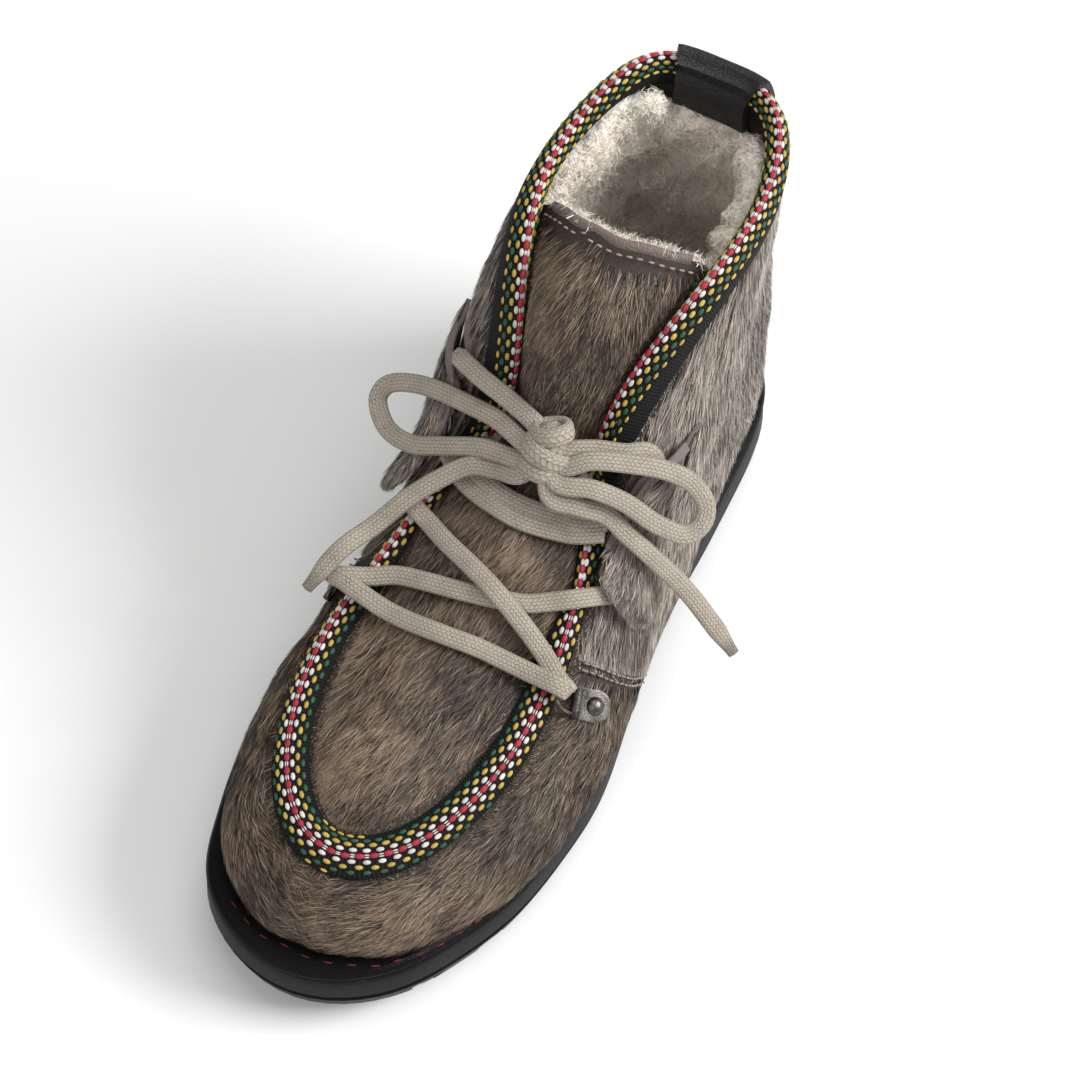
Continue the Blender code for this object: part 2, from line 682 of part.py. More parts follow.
def make_braid(last):
    outer, inner, fold = braid_columns(last)
    profiles = saddle(last, GAP, 2 * GAP, BRAID_THICKNESS, BRAID_SEAM_RISE, BRAID_COLLAR_RISE,
                      outer, inner, fold)
    return sweep("braid", profiles, "braid", True)


def make_pull_tab(last):
    """A leather strap over the braid at the back of the collar, as wide as TAB_WIDTH."""
    full = np.ones(last.count)
    cover = 2 * GAP + BRAID_THICKNESS * max(step.collar for step in BRAID_STEPS)
    top_cover = 3 * GAP + BRAID_THICKNESS + BRAID_COLLAR_RISE
    profiles = saddle(last, cover, top_cover, TAB_THICKNESS, 0, 0, TAB_OUTER_LEG * full,
                      TAB_INNER_LEG * full, full)
    near = np.arange(-2 * STEPS, 2 * STEPS + 1)
    ends = np.interp([-TAB_WIDTH / 2, TAB_WIDTH / 2], last.edge[near, 0], near)
    between = np.arange(math.ceil(ends.min()), math.floor(ends.max()) + 1)
    place = np.concatenate([[ends.min()], between, [ends.max()]])
    low = np.floor(place).astype(int)
    share = (place - low)[:, None, None]
    rows = profiles[low] * (1 - share) + profiles[low + 1] * share
    return sweep("pull_tab", rows, "leather", False)


def make_tongue(last):
    """The tongue from the apron's end up to the collar, its sides behind the throat."""
    first, final = last.throat, TONGUE_TOP_ROW * STEPS
    depth_full = UPPER_WALL + 7 * GAP + BRAID_THICKNESS * max(s.collar for s in BRAID_STEPS)
    heights = [r.height for r in TONGUE_ROWS]
    side_shares = np.linspace(0.5, 1, 9)
    sides = last.side(side_shares)
    sheets = []
    for station in range(first, final - 1, -1):
        height = (first - station) / (first - final)
        reach = TONGUE_LAP * np.interp(height, heights, [r.reach for r in TONGUE_ROWS])
        depth = depth_full * np.interp(height, heights, [r.depth for r in TONGUE_ROWS])
        over, up = last.rung(station, np.linspace(0, 1, 9))
        path = np.concatenate([sides[station, :-1], over, sides[-station, -2::-1]])
        run = np.concatenate([[0], np.cumsum(np.linalg.norm(np.diff(path, axis=0), axis=1))])
        start, end = run[len(side_shares) - 1], run[-len(side_shares)]
        wanted = np.linspace(start - reach, end + reach, TONGUE_COLUMNS + 1)
        points = np.stack([np.interp(wanted, run, path[:, k]) for k in range(3)], 1)
        ahead = last.edge[station - 1] + last.edge[-(station - 1)]
        behind = last.edge[station + 1] + last.edge[-(station + 1)]
        normal = unit(np.cross(ahead - behind, np.gradient(points, axis=0)))
        normal = normal * np.sign(normal[TONGUE_COLUMNS // 2, 2])
        out_to_side = np.abs(np.linspace(-1, 1, TONGUE_COLUMNS + 1))
        sink = depth * ease((out_to_side - 0.25) / 0.5)
        sheets.append(points - normal * sink[:, None])
    sheets = np.array(sheets)
    rise = unit(sheets[-1] - sheets[-2])
    sheets = np.concatenate([sheets, (sheets[-1] + rise * TONGUE_RISE)[None]])
    sheets[0] += unit(sheets[1] - sheets[0]) * 2 * GAP
    rows, columns = sheets.shape[:2]
    faces = []
    for i in range(rows - 1):
        for j in range(columns - 1):
            a = i * columns + j
            faces.append((a, a + columns, a + columns + 1, a + 1))
    return shell("tongue", sheets.reshape(-1, 3), faces, "hide", 0, TONGUE_THICKNESS)


def make_wing(last, wing):
    """A pocket over the side, raised in the middle so that the lace can pass under it."""
    slit_front, slit_rear, front, low, rear = (spot(shares) for shares in wing[1:])
    share = np.linspace(0, 1, WING_ROWS + 1)
    back, down = np.meshgrid(share, share, indexing="ij")
    lobe_lift = np.interp(back, [r.back for r in WING_RISES], [r.lobe for r in WING_RISES])
    slit_lift = np.interp(back, [r.back for r in WING_RISES], [r.slit for r in WING_RISES])
    lift = LACE * (slit_lift * (1 - down) + lobe_lift * down)[..., None]
    back, down = back[..., None], down[..., None]
    turn = 2 * low - (front + rear) / 2
    lobe = front * (1 - back) ** 2 + turn * 2 * back * (1 - back) + rear * back**2
    flat = (slit_front * (1 - back) + slit_rear * back) * (1 - down) + lobe * down
    seat = np.array([[last.skin_tree.find_nearest(Vector(p))[0] for p in row] for row in flat])
    normal = unit(np.cross(np.gradient(seat, axis=0), np.gradient(seat, axis=1)))
    normal = normal * np.sign(normal[3, 3] @ last.away(seat[3, 3]))
    outer = seat + normal * (lift + WING_THICKNESS)
    faces = []
    for i in range(WING_ROWS):
        for j in range(WING_ROWS):
            a = i * (WING_ROWS + 1) + j
            faces.append((a, a + 1, a + WING_ROWS + 2, a + WING_ROWS + 1))
    if slit_front[0] < 0:
        faces = [face[::-1] for face in faces]
    return shell(wing.name, outer.reshape(-1, 3), faces, "hide", 0, WING_THICKNESS)


def make_hook(last, hook):
    """Plate, domed rivet, barrel and wire loop, joined and set on the hide."""
    seat = last.skin_tree.find_nearest(Vector(spot(hook.rivet)))[0]
    aim = last.skin_tree.find_nearest(Vector(spot(hook.loop)))[0]
    up = Vector(last.away(seat) + last.away(aim))
    ahead = (aim - seat).normalized()
    across = up.cross(ahead).normalized()
    up = ahead.cross(across)
    frame = Matrix((ahead, across, up)).transposed().to_4x4()
    below = [last.skin_tree.find_nearest(seat + ahead * u + across * w)[0]
             for u in (0, BARREL_OFFSET / 2) for w in (-PLATE_RADIUS / 2, 0, PLATE_RADIUS / 2)]
    frame.translation = seat + up * (max((place - seat).dot(up) for place in below) + GAP)
    middle = PLATE_THICKNESS / 2

    item = cylinder(PLATE_RADIUS, PLATE_THICKNESS, 18)
    item.name = hook.name
    item.data.transform(frame @ Matrix.Translation((0, 0, middle)))
    item.data.materials.append(finish("steel"))
    item.data.shade_smooth()
    move_to(boot, item)

    tail = box()
    size = (BARREL_OFFSET, 2 * PLATE_RADIUS - WIRE / 4, PLATE_THICKNESS, 1)
    shift = Matrix.Translation((BARREL_OFFSET / 2, 0, middle))
    tail.data.transform(frame @ shift @ Matrix.Diagonal(size))
    combine(item, "tail", tail, "UNION")

    bpy.ops.mesh.primitive_uv_sphere_add(segments=12, ring_count=6, radius=RIVET_RADIUS)
    rivet = bpy.context.object
    cut_below(rivet, 0)
    shift = Matrix.Translation((0, 0, middle))
    rivet.data.transform(frame @ shift @ Matrix.Diagonal((1, 1, RIVET_RISE / RIVET_RADIUS, 1)))
    combine(item, "rivet", rivet, "UNION")

    pivot = Matrix.Translation((BARREL_OFFSET, 0, BARREL_RADIUS))
    barrel = cylinder(BARREL_RADIUS, BARREL_LENGTH, 10)
    barrel.data.transform(frame @ pivot @ Matrix.Rotation(math.pi / 2, 4, "X"))
    combine(item, "barrel", barrel, "UNION")

    turn = np.linspace(-math.pi / 2, math.pi / 2, 9)
    half = (BARREL_LENGTH - WIRE) / 2 - GAP
    ring = np.stack([np.cos(turn) * LOOP_REACH, np.sin(turn) * half, 0 * turn], 1)
    loop = sweep("loop", tube(ring, WIRE, WIRE, 6, (0, 0, 1)), "steel", False)
    loop.data.transform(frame @ pivot @ Matrix.Rotation(-LOOP_TILT, 4, "Y"))
    combine(item, "loop", loop, "UNION")


def make_cord(name, route, steps):
    """A round cord along a smooth curve through its route."""
    route = np.array(route)
    slopes = np.gradient(route, axis=0)
    smooth = [route[0]]
    for i in range(len(route) - 1):
        for t in np.arange(1, steps + 1) / steps:
            smooth.append(
                (2 * t**3 - 3 * t**2 + 1) * route[i]
                + (t**3 - 2 * t**2 + t) * slopes[i]
                + (3 * t**2 - 2 * t**3) * route[i + 1]
                + (t**3 - t**2) * slopes[i + 1]
            )
    line = bpy.data.curves.new(name, "CURVE")
    line.dimensions = "3D"
    line.bevel_depth = LACE / 2
    line.bevel_resolution = 2
    line.use_fill_caps = True
    spline = line.splines.new("POLY")
    spline.points.add(len(smooth) - 1)
    for point, place in zip(spline.points, smooth):
        point.co = (*place, 1)
    item = bpy.data.objects.new(name, line)
    line.materials.append(finish("cotton"))
    boot.objects.link(item)
    return item


def as_mesh(item):
    """The same cord as a mesh object with its caps welded."""
    name = item.name
    bpy.context.view_layer.update()
    ready = item.evaluated_get(bpy.context.evaluated_depsgraph_get())
    mesh = bpy.data.meshes.new_from_object(ready)
    work = bmesh.new()
    work.from_mesh(mesh)
    bmesh.ops.remove_doubles(work, verts=work.verts, dist=WELD)
    work.to_mesh(mesh)
    work.free()
    place = item.matrix_world.copy()
    bpy.data.objects.remove(item, do_unlink=True)
    solid = bpy.data.objects.new(name, mesh)
    solid.matrix_world = place
    mesh.shade_smooth()
    boot.objects.link(solid)
    return solid


def make_crossing(name, strands):
    """Tight strands of lace, joined where they meet."""
    item = as_mesh(make_cord(name, strands[0], 1))
    for number, strand in enumerate(strands[1:]):
        other = as_mesh(make_cord("strand", strand, 1))
        combine(item, f"strand_{number}", other, "UNION")


def make_knot():
    bpy.ops.mesh.primitive_uv_sphere_add(segments=12, ring_count=8, radius=0.5)
    item = bpy.context.object
    item.name = "lace_knot"
    lean = Matrix.Rotation(KNOT_LEAN, 4, "X")
    item.data.transform(Matrix.Translation(KNOT) @ lean @ Matrix.Diagonal((*KNOT_SIZE, 1)))
    item.data.materials.append(finish("cotton"))
    item.data.shade_smooth()
    move_to(boot, item)


def cut_below(item, level):
    """Cut an object's mesh level and close it."""
    work = bmesh.new()
    work.from_mesh(item.data)
    every = work.verts[:] + work.edges[:] + work.faces[:]
    cut = bmesh.ops.bisect_plane(work, geom=every, plane_co=(0, 0, level), plane_no=(0, 0, -1),
                                 clear_outer=True)
    rim = [part for part in cut["geom_cut"] if isinstance(part, bmesh.types.BMEdge)]
    bmesh.ops.contextual_create(work, geom=rim)
    work.to_mesh(item.data)
    work.free()


def tube(route, width, thickness, sides, facing):
    """Profiles of a flattened round cord along a route, its flat side facing one way."""
    run = unit(np.gradient(route, axis=0))
    across = unit(np.cross(run, facing))
    up = np.cross(across, run)
    turn = np.arange(sides) * 2 * math.pi / sides
    rim_across, rim_up = np.cos(turn) * width / 2, np.sin(turn) * thickness / 2
    return (route[:, None] + across[:, None] * rim_across[:, None]
            + up[:, None] * rim_up[:, None])


def sole_loop():
    rows = both_sides(
        OUTLINE, lambda r: (r.along, r.lateral), lambda r: (r.along, -r.medial)
    )
    along, across = smooth_loop(rows, STEPS).T
    return along, np.stack([across * BALL_WIDTH, along_to_y(along), 0 * along], 1)


def make_outsole():
    along, loop = sole_loop()
    out = outward(loop)
    low, high = sole_bottom(along), sole_top(along) - WELT_THICKNESS - GAP
    rings = []
    for step in SIDE_STEPS:
        ring = loop - out * step.inset
        ring[:, 2] = low + (high - low) * step.level
        rings.append(ring)
    sole = plate("outsole", np.array(rings), "rubber")
    for number, share in enumerate(GROOVES):
        cutter = box()
        cutter.data.transform(
            Matrix.Diagonal((2 * BALL_WIDTH, LUG_GROOVE, 2 * LUG_DEPTH, 1))
        )
        cutter.location = (0, along_to_y(share), float(sole_bottom(share)))
        cutter.rotation_euler = (0, 0, GROOVE_TURN * (1 if share < 0.5 else -1))
        combine(sole, f"groove_{number}", cutter, "DIFFERENCE")


def make_welt():
    along, loop = sole_loop()
    out = outward(loop)
    rings = []
    for level, inset in ((0, WELT_BEAD), (0.5, 0.5 * WELT_BEAD), (1, 1.5 * WELT_BEAD)):
        ring = loop - out * inset
        ring[:, 2] = sole_top(along) - WELT_THICKNESS * (1 - level)
        rings.append(ring)
    return plate("welt", np.array(rings), "rubber")


def make_insole(last):
    inset = UPPER_WALL + FLEECE_GAP + FLEECE + FLEECE_GAP
    rings = []
    for level in (0, 1):
        ring = last.feather - last.out * inset
        ring[:, 2] += GAP + INSOLE_THICKNESS * level
        rings.append(ring)
    return plate("insole", np.array(rings), "fleece")


clear_scene()
boot = make_collection("sheepskin_boot")
cutters = make_collection("cutters")
form = Last()
make_upper(form)
make_lining(form)
make_tongue(form)
make_braid(form)
make_pull_tab(form)
for row in WINGS:
    make_wing(form, row)
for row in HOOKS:
    make_hook(form, row)
make_knot()
for name, route in LACES.items():
    make_cord(name, route, 1 if "run" in name else 2)
for name, strands in CROSSINGS.items():
    make_crossing(name, strands)
make_insole(form)
make_welt()
make_outsole()
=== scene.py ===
"""Left ankle boot of hair-on hide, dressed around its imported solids.

The toe points to -Y, the wearer's left is +X and the floor is z = 0. All sizes are in metres.
"""

import math

import bmesh
import bpy
import numpy as np
from mathutils import Matrix, Vector
from mathutils.bvhtree import BVHTree


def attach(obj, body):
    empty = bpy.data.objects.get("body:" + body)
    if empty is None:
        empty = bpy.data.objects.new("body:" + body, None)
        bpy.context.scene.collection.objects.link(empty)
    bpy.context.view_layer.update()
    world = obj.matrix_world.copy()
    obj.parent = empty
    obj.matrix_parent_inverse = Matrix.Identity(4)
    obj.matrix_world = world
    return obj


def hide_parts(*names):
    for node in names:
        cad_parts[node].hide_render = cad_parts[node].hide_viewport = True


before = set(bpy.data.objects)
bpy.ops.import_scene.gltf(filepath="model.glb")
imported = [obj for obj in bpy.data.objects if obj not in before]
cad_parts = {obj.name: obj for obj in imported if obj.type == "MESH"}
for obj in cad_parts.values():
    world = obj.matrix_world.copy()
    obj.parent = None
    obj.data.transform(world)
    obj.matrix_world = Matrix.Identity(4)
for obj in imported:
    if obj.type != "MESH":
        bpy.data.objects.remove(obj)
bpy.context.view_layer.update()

# Camera: where the photographer stood, above the toe on the boot's outer side. It is turned
# to the middle of the one boot with a longer lens, and keeps the photograph's roll.
CAMERA_PLACE = Vector((0.2019, -0.5253, 0.8554))
CAMERA_AZIMUTH = math.radians(32.895)
CAMERA_ROLL = math.radians(-3.759)
CAMERA_AIM = Vector((0.006, -0.100, 0.074))
CAMERA_LENS = 97.0


def place_camera():
    camera = bpy.data.objects.new("camera", bpy.data.cameras.new("camera"))
    camera.data.lens = CAMERA_LENS
    camera.data.clip_start = 0.05
    back = (CAMERA_PLACE - CAMERA_AIM).normalized()
    level = Vector((math.cos(CAMERA_AZIMUTH), math.sin(CAMERA_AZIMUTH), 0))
    level = (level - back * level.dot(back)).normalized()
    right = Matrix.Rotation(CAMERA_ROLL, 3, back) @ level
    up = back.cross(right)
    camera.matrix_world = Matrix((right, up, back)).transposed().to_4x4()
    camera.location = CAMERA_PLACE
    bpy.context.scene.collection.objects.link(camera)
    bpy.context.scene.camera = camera
    return np.array(back)


view_back = place_camera()

# Lace: one flat plaited cord of beige cotton, tied in a bow over the tongue. It runs from the
# hooks at the vamp up to the wings' slits, along the same routes as the solids.
LACE_WIDTH = 0.0060
LACE_THICKNESS = 0.0030
LACE_SIDES = 20
LACE_STEP = 0.0008
LACE_TIP = 0.011
LACE_TIP_SHARE = 0.62
PLAIT_LENGTH = 0.0015
PLAIT_COLUMNS = 14
PLAIT_RELIEF = 0.00004
PLAIT_BUMP = 0.00035
LACE_PALE = (0.42, 0.37, 0.305)
LACE_DARK = (0.10, 0.08, 0.06)
LACES = {
    "lace_run_lateral": [
        (0.0115, -0.0920, 0.1195), (0.0178, -0.0880, 0.1188), (0.0252, -0.0848, 0.1180),
        (0.0308, -0.0797, 0.1156), (0.0341, -0.0787, 0.1091), (0.0355, -0.0810, 0.1037),
    ],
    "lace_run_medial": [
        (-0.0016, -0.0916, 0.1236), (-0.0125, -0.0870, 0.1222), (-0.0235, -0.0838, 0.1218),
        (-0.0335, -0.0786, 0.1185), (-0.0360, -0.0745, 0.1122), (-0.0363, -0.0775, 0.1062),
    ],
    "lace_loop_medial": [
        (-0.0022, -0.0965, 0.1190), (-0.0140, -0.0918, 0.1170), (-0.0256, -0.0885, 0.1125),
        (-0.0376, -0.0858, 0.1080), (-0.0480, -0.0844, 0.1030), (-0.0560, -0.0853, 0.0978),
        (-0.0575, -0.0895, 0.0932), (-0.0505, -0.0962, 0.0915), (-0.0400, -0.0996, 0.0948),
        (-0.0290, -0.0992, 0.1012), (-0.0160, -0.0985, 0.1090), (-0.0020, -0.0992, 0.1140),
    ],
    "lace_loop_lateral": [
        (0.0115, -0.0972, 0.1172), (0.0185, -0.0937, 0.1209), (0.0284, -0.0888, 0.1200),
        (0.0382, -0.0838, 0.1170), (0.0463, -0.0810, 0.1120), (0.0524, -0.0824, 0.1060),
        (0.0535, -0.0870, 0.1016), (0.0498, -0.0918, 0.1002), (0.0414, -0.0950, 0.1050),
        (0.0320, -0.0965, 0.1112), (0.0220, -0.0988, 0.1145), (0.0115, -0.1015, 0.1140),
    ],
    "lace_end_medial": [
        (-0.0005, -0.1030, 0.1118), (-0.0090, -0.1020, 0.1068), (-0.0172, -0.1030, 0.1042),
        (-0.0240, -0.1082, 0.0998), (-0.0319, -0.1162, 0.0928), (-0.0385, -0.1252, 0.0850),
        (-0.0443, -0.1375, 0.0827), (-0.0498, -0.1493, 0.0726),
    ],
    "lace_end_lateral": [
        (0.0105, -0.1045, 0.1100), (0.0190, -0.1028, 0.1082), (0.0275, -0.0998, 0.1055),
        (0.0350, -0.1005, 0.1012), (0.0425, -0.1002, 0.0955), (0.0545, -0.0985, 0.0825),
        (0.0645, -0.0996, 0.0730), (0.0752, -0.1017, 0.0630),
    ],
}
KNOT = np.array((0.0045, -0.0950, 0.1190))
LACE_INTO_KNOT = 0.8
LACE_CROSSINGS = {
    "lace_crossings": [
        [
            (0.0366, -0.1113, 0.0826), (0.0290, -0.1200, 0.0870), (0.0211, -0.1248, 0.0856),
            (0.0150, -0.1284, 0.0852), (0.0056, -0.1320, 0.0864), (-0.0050, -0.1342, 0.0858),
            (-0.0146, -0.1350, 0.0838), (-0.0250, -0.1358, 0.0806), (-0.0330, -0.1392, 0.0785),
            (-0.0400, -0.1420, 0.0776), (-0.0440, -0.1428, 0.0758), (-0.0400, -0.1438, 0.0776),
            (-0.0323, -0.1452, 0.0774), (-0.0235, -0.1464, 0.0770), (-0.0149, -0.1474, 0.0788),
            (-0.0031, -0.1474, 0.0806), (0.0079, -0.1460, 0.0798), (0.0176, -0.1450, 0.0778),
            (0.0271, -0.1448, 0.0772), (0.0346, -0.1449, 0.0776), (0.0386, -0.1441, 0.0757),
            (0.0346, -0.1430, 0.0776), (0.0266, -0.1378, 0.0790), (0.0163, -0.1338, 0.0842),
            (0.0053, -0.1312, 0.0914), (-0.0058, -0.1268, 0.0912), (-0.0155, -0.1225, 0.0892),
            (-0.0239, -0.1180, 0.0874), (-0.0306, -0.1154, 0.0882), (-0.0362, -0.1103, 0.0846),
        ],
    ],
    "lace_strands": [
        [
            (-0.0276, -0.0985, 0.0973), (-0.0178, -0.1006, 0.0980), (-0.0071, -0.1050, 0.1002),
            (0.0031, -0.1057, 0.1000), (0.0134, -0.1030, 0.0978), (0.0205, -0.1020, 0.0986),
            (0.0275, -0.0990, 0.1002),
        ],
        [
            (-0.0276, -0.0985, 0.0973), (-0.0183, -0.1046, 0.0959), (-0.0053, -0.1091, 0.0984),
            (0.0048, -0.1095, 0.0978), (0.0150, -0.1063, 0.0953), (0.0205, -0.1051, 0.0962),
            (0.0280, -0.1020, 0.0985),
        ],
    ],
}


class Value:
    """A shader socket that takes part in sums, so that shader maths reads as maths."""

    def __init__(self, finish, socket):
        self.finish = finish
        self.socket = socket

    def math(self, operation, *others):
        return self.finish.node("ShaderNodeMath", {"operation": operation}, self, *others)

    def __add__(self, other):
        return self.math("ADD", other)

    def __mul__(self, other):
        return self.math("MULTIPLY", other)

    def __sub__(self, other):
        return self.math("SUBTRACT", other)

    def __rsub__(self, other):
        return self.math("MULTIPLY", -1.0).math("ADD", other)

    __radd__ = __add__
    __rmul__ = __mul__


class Finish:
    """A Principled material with the nodes that feed it."""

    def __init__(self, name, **settings):
        self.material = bpy.data.materials.new(name)
        self.material.use_nodes = True
        self.tree = self.material.node_tree
        self.shader = self.tree.nodes["Principled BSDF"]
        for socket, value in settings.items():
            self.shader.inputs[socket.replace("_", " ")].default_value = value

    def node(self, kind, settings, *values, out=0, **named):
        """A node whose settings are made first, then its sockets. It gives one output."""
        item = self.tree.nodes.new(kind)
        for key, value in settings.items():
            if key == "stops":
                ramp = item.color_ramp.elements
                while len(ramp) < len(value):
                    ramp.new(1.0)
                for stop, (position, colour) in zip(ramp, value):
                    stop.position = position
                    stop.color = (*colour, 1.0)
            else:
                setattr(item, key, value)
        pairs = list(enumerate(values)) + [(k.replace("_", " "), v) for k, v in named.items()]
        for key, value in pairs:
            if isinstance(value, Value):
                self.tree.links.new(value.socket, item.inputs[key])
            elif value is not None:
                item.inputs[key].default_value = value
        return Value(self, item.outputs[out])

    def attribute(self, name, out="Fac"):
        return self.node("ShaderNodeAttribute", {"attribute_name": name}, out=out)

    def part(self, vector, axis):
        return self.node("ShaderNodeSeparateXYZ", {}, vector, out=axis)

    def place(self):
        return self.node("ShaderNodeTexCoord", {}, out="Object")

    def noise(self, scale, detail=2.0):
        return self.node("ShaderNodeTexNoise", {}, Vector=self.place(), Scale=scale, Detail=detail)

    def ramp(self, value, *stops):
        return self.node("ShaderNodeValToRGB", {"stops": stops}, value, out="Color")

    def mix(self, share, first, second, how="MIX"):
        ends = [v if isinstance(v, Value) else (*v, 1.0) for v in (first, second)]
        settings = {"data_type": "RGBA", "blend_type": how}
        blank = [None] * 5
        return self.node("ShaderNodeMix", settings, share, *blank, *ends, out=2)

    def between(self, value, low, high):
        """0 below low, 1 above high, and a soft step from one to the other."""
        soft = {"interpolation_type": "SMOOTHSTEP"}
        return self.node("ShaderNodeMapRange", soft, value, low, high, 0.0, 1.0)

    def bump(self, height, depth):
        """Relief that stands depth metres proud where height is 1."""
        return self.node("ShaderNodeBump", {}, Strength=1.0, Distance=depth, Height=height)

    def feed(self, **sockets):
        for name, value in sockets.items():
            self.tree.links.new(value.socket, self.shader.inputs[name.replace("_", " ")])
        return self.material


def unit(vectors):
    return vectors / np.maximum(np.linalg.norm(vectors, axis=-1, keepdims=True), 1e-12)


def ease(value):
    value = np.clip(value, 0, 1)
    return value * value * (3 - 2 * value)


def add_piece(name, points, faces, *materials):
    """A smooth mesh in the boot's own frame, riding with it."""
    mesh = bpy.data.meshes.new(name)
    mesh.from_pydata(np.asarray(points, float).tolist(), [], faces)
    for material in materials:
        mesh.materials.append(material)
    mesh.shade_smooth()
    piece = bpy.data.objects.new(name, mesh)
    bpy.context.scene.collection.objects.link(piece)
    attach(piece, "root")
    return piece


def between_points(route, slope, low, high, t):
    """Places on a smooth curve, a share t of the way from one point to the next."""
    return (
        route[low] * (1 + 2 * t) * (1 - t) ** 2
        + slope[low] * t * (1 - t) ** 2
        + route[high] * t**2 * (3 - 2 * t)
        + slope[high] * t**2 * (t - 1)
    )


def smooth_route(route, spacing):
    """A curve through the route's points, cut to even steps."""
    route = np.array(route)
    slope = np.gradient(route, axis=0)
    along = np.linspace(0, len(route) - 1, 24 * (len(route) - 1) + 1)
    low = np.minimum(along.astype(int), len(route) - 2)
    t = (along - low)[:, None]
    fine = between_points(route, slope, low, low + 1, t)
    run = np.concatenate([[0], np.cumsum(np.linalg.norm(np.diff(fine, axis=0), axis=1))])
    wanted = np.linspace(0, run[-1], max(3, round(run[-1] / spacing) + 1))
    return np.stack([np.interp(wanted, run, fine[:, k]) for k in range(3)], 1), wanted


def blur(values, reach):
    """Evens out values along a line over reach steps either side."""
    kernel = np.hanning(2 * reach + 3)[1:-1]
    kernel /= kernel.sum()
    padded = np.concatenate([values[:1]] * reach + [values] + [values[-1:]] * reach)
    return np.stack([np.convolve(padded[:, k], kernel, "valid") for k in range(3)], 1)


def lace_tube(route, tip=False, facing=view_back, spacing=LACE_STEP, width=LACE_WIDTH,
              thickness=LACE_THICKNESS):
    """Points, faces and weave places of a flat cord whose face turns to facing."""
    line, run = smooth_route(route, spacing)
    tangent = unit(np.gradient(line, axis=0))
    normal = facing - tangent * (tangent @ facing)[:, None]
    normal = blur(normal, 8)
    normal = unit(normal - tangent * (normal * tangent).sum(1)[:, None])
    across = np.cross(tangent, normal)
    turn = np.linspace(0, 2 * np.pi, LACE_SIDES, endpoint=False)
    wide = np.sign(np.cos(turn)) * np.abs(np.cos(turn)) ** 0.7 * width / 2
    high = np.sign(np.sin(turn)) * np.abs(np.sin(turn)) ** 0.85 * thickness / 2
    full = np.ones(len(line))
    if tip:
        full = LACE_TIP_SHARE + (1 - LACE_TIP_SHARE) * ease((run[-1] - run) / LACE_TIP)
    around = np.hypot(np.diff(wide, append=wide[:1]), np.diff(high, append=high[:1]))
    around = np.concatenate([[0], np.cumsum(around) / around.sum()])
    column = around[None, :-1] * PLAIT_COLUMNS
    slant = np.where(np.floor(column).astype(int) % 2, 1.0, -1.0)
    beat = run[:, None] / PLAIT_LENGTH + slant * (column % 1) * 0.5
    relief = PLAIT_RELIEF * (np.abs(np.sin(np.pi * beat)) ** 0.6 - 0.5)
    body = wide[None, :, None] * across[:, None] + high[None, :, None] * normal[:, None]
    body = body * full[:, None, None]
    points = line[:, None] + body + unit(body) * relief[..., None]
    rings, sides = len(line), LACE_SIDES
    middle = [line[0] - tangent[0] * 0.0004, line[-1] + tangent[-1] * 0.0006]
    points = np.concatenate([points.reshape(-1, 3), middle])
    faces, corners = [], []
    for i in range(rings - 1):
        for k in range(sides):
            a, b = i * sides + k, i * sides + (k + 1) % sides
            faces.append((a, b, b + sides, a + sides))
            low, high = around[k], around[k + 1]
            corners += [(run[i], low), (run[i], high), (run[i + 1], high), (run[i + 1], low)]
    for centre, first in ((rings * sides, 0), (rings * sides + 1, (rings - 1) * sides)):
        for k in range(sides):
            pair = (first + (k + 1) % sides, first + k)
            faces.append((centre, *(pair if first == 0 else pair[::-1])))
            corners += [(run[-1] if first else 0, 0.25)] * 3
    tips = np.repeat(1 - ease((run[-1] - run - 0.002) / 0.006) if tip else full * 0, sides)
    return line, points, faces, corners, np.concatenate([tips, [0, tips[-1]]])


def make_lace_finish():
    cotton = Finish("lace_cotton", Roughness=0.88)
    weave = cotton.node("ShaderNodeUVMap", {"uv_map": "weave"})
    along = cotton.part(weave, 0) * (1 / PLAIT_LENGTH)
    column = cotton.part(weave, 1) * PLAIT_COLUMNS
    within = column.math("FRACT")
    turned = (column * 0.5).math("FRACT").math("GREATER_THAN", 0.5)
    beat = along + within * (turned * 2.0 - 1.0) * 0.5
    ridge = (beat * math.pi).math("SINE").math("ABSOLUTE").math("POWER", 0.6)
    strand = (within * math.pi).math("SINE").math("POWER", 0.45)
    yarn = ((beat * 5.0 + within * 2.0).math("FRACT") - 0.5).math("ABSOLUTE") * 2.0
    height = ridge * strand * 0.8 + yarn * 0.12 + cotton.noise(2600, 2.0) * 0.1
    tone = cotton.noise(190, 3.0)
    # Painted shade: the gaps between the plaits' strands are darkened toward LACE_DARK, more in
    # noisy specks within them.
    gap_shade = 1.0 - cotton.between(ridge * strand, 0.18, 0.62)
    gap_shade_specks = cotton.between(cotton.noise(900, 1.0), 0.56, 0.68) * gap_shade
    body = cotton.ramp(tone, (0.3, tuple(0.82 * c for c in LACE_PALE)), (0.7, LACE_PALE))
    body = cotton.mix(gap_shade * 0.45 + gap_shade_specks * 0.5, body, LACE_DARK)
    body = cotton.mix(cotton.attribute("tip") * 0.45, body, LACE_DARK)
    return cotton.feed(Base_Color=body, Normal=cotton.bump(height, PLAIT_BUMP))


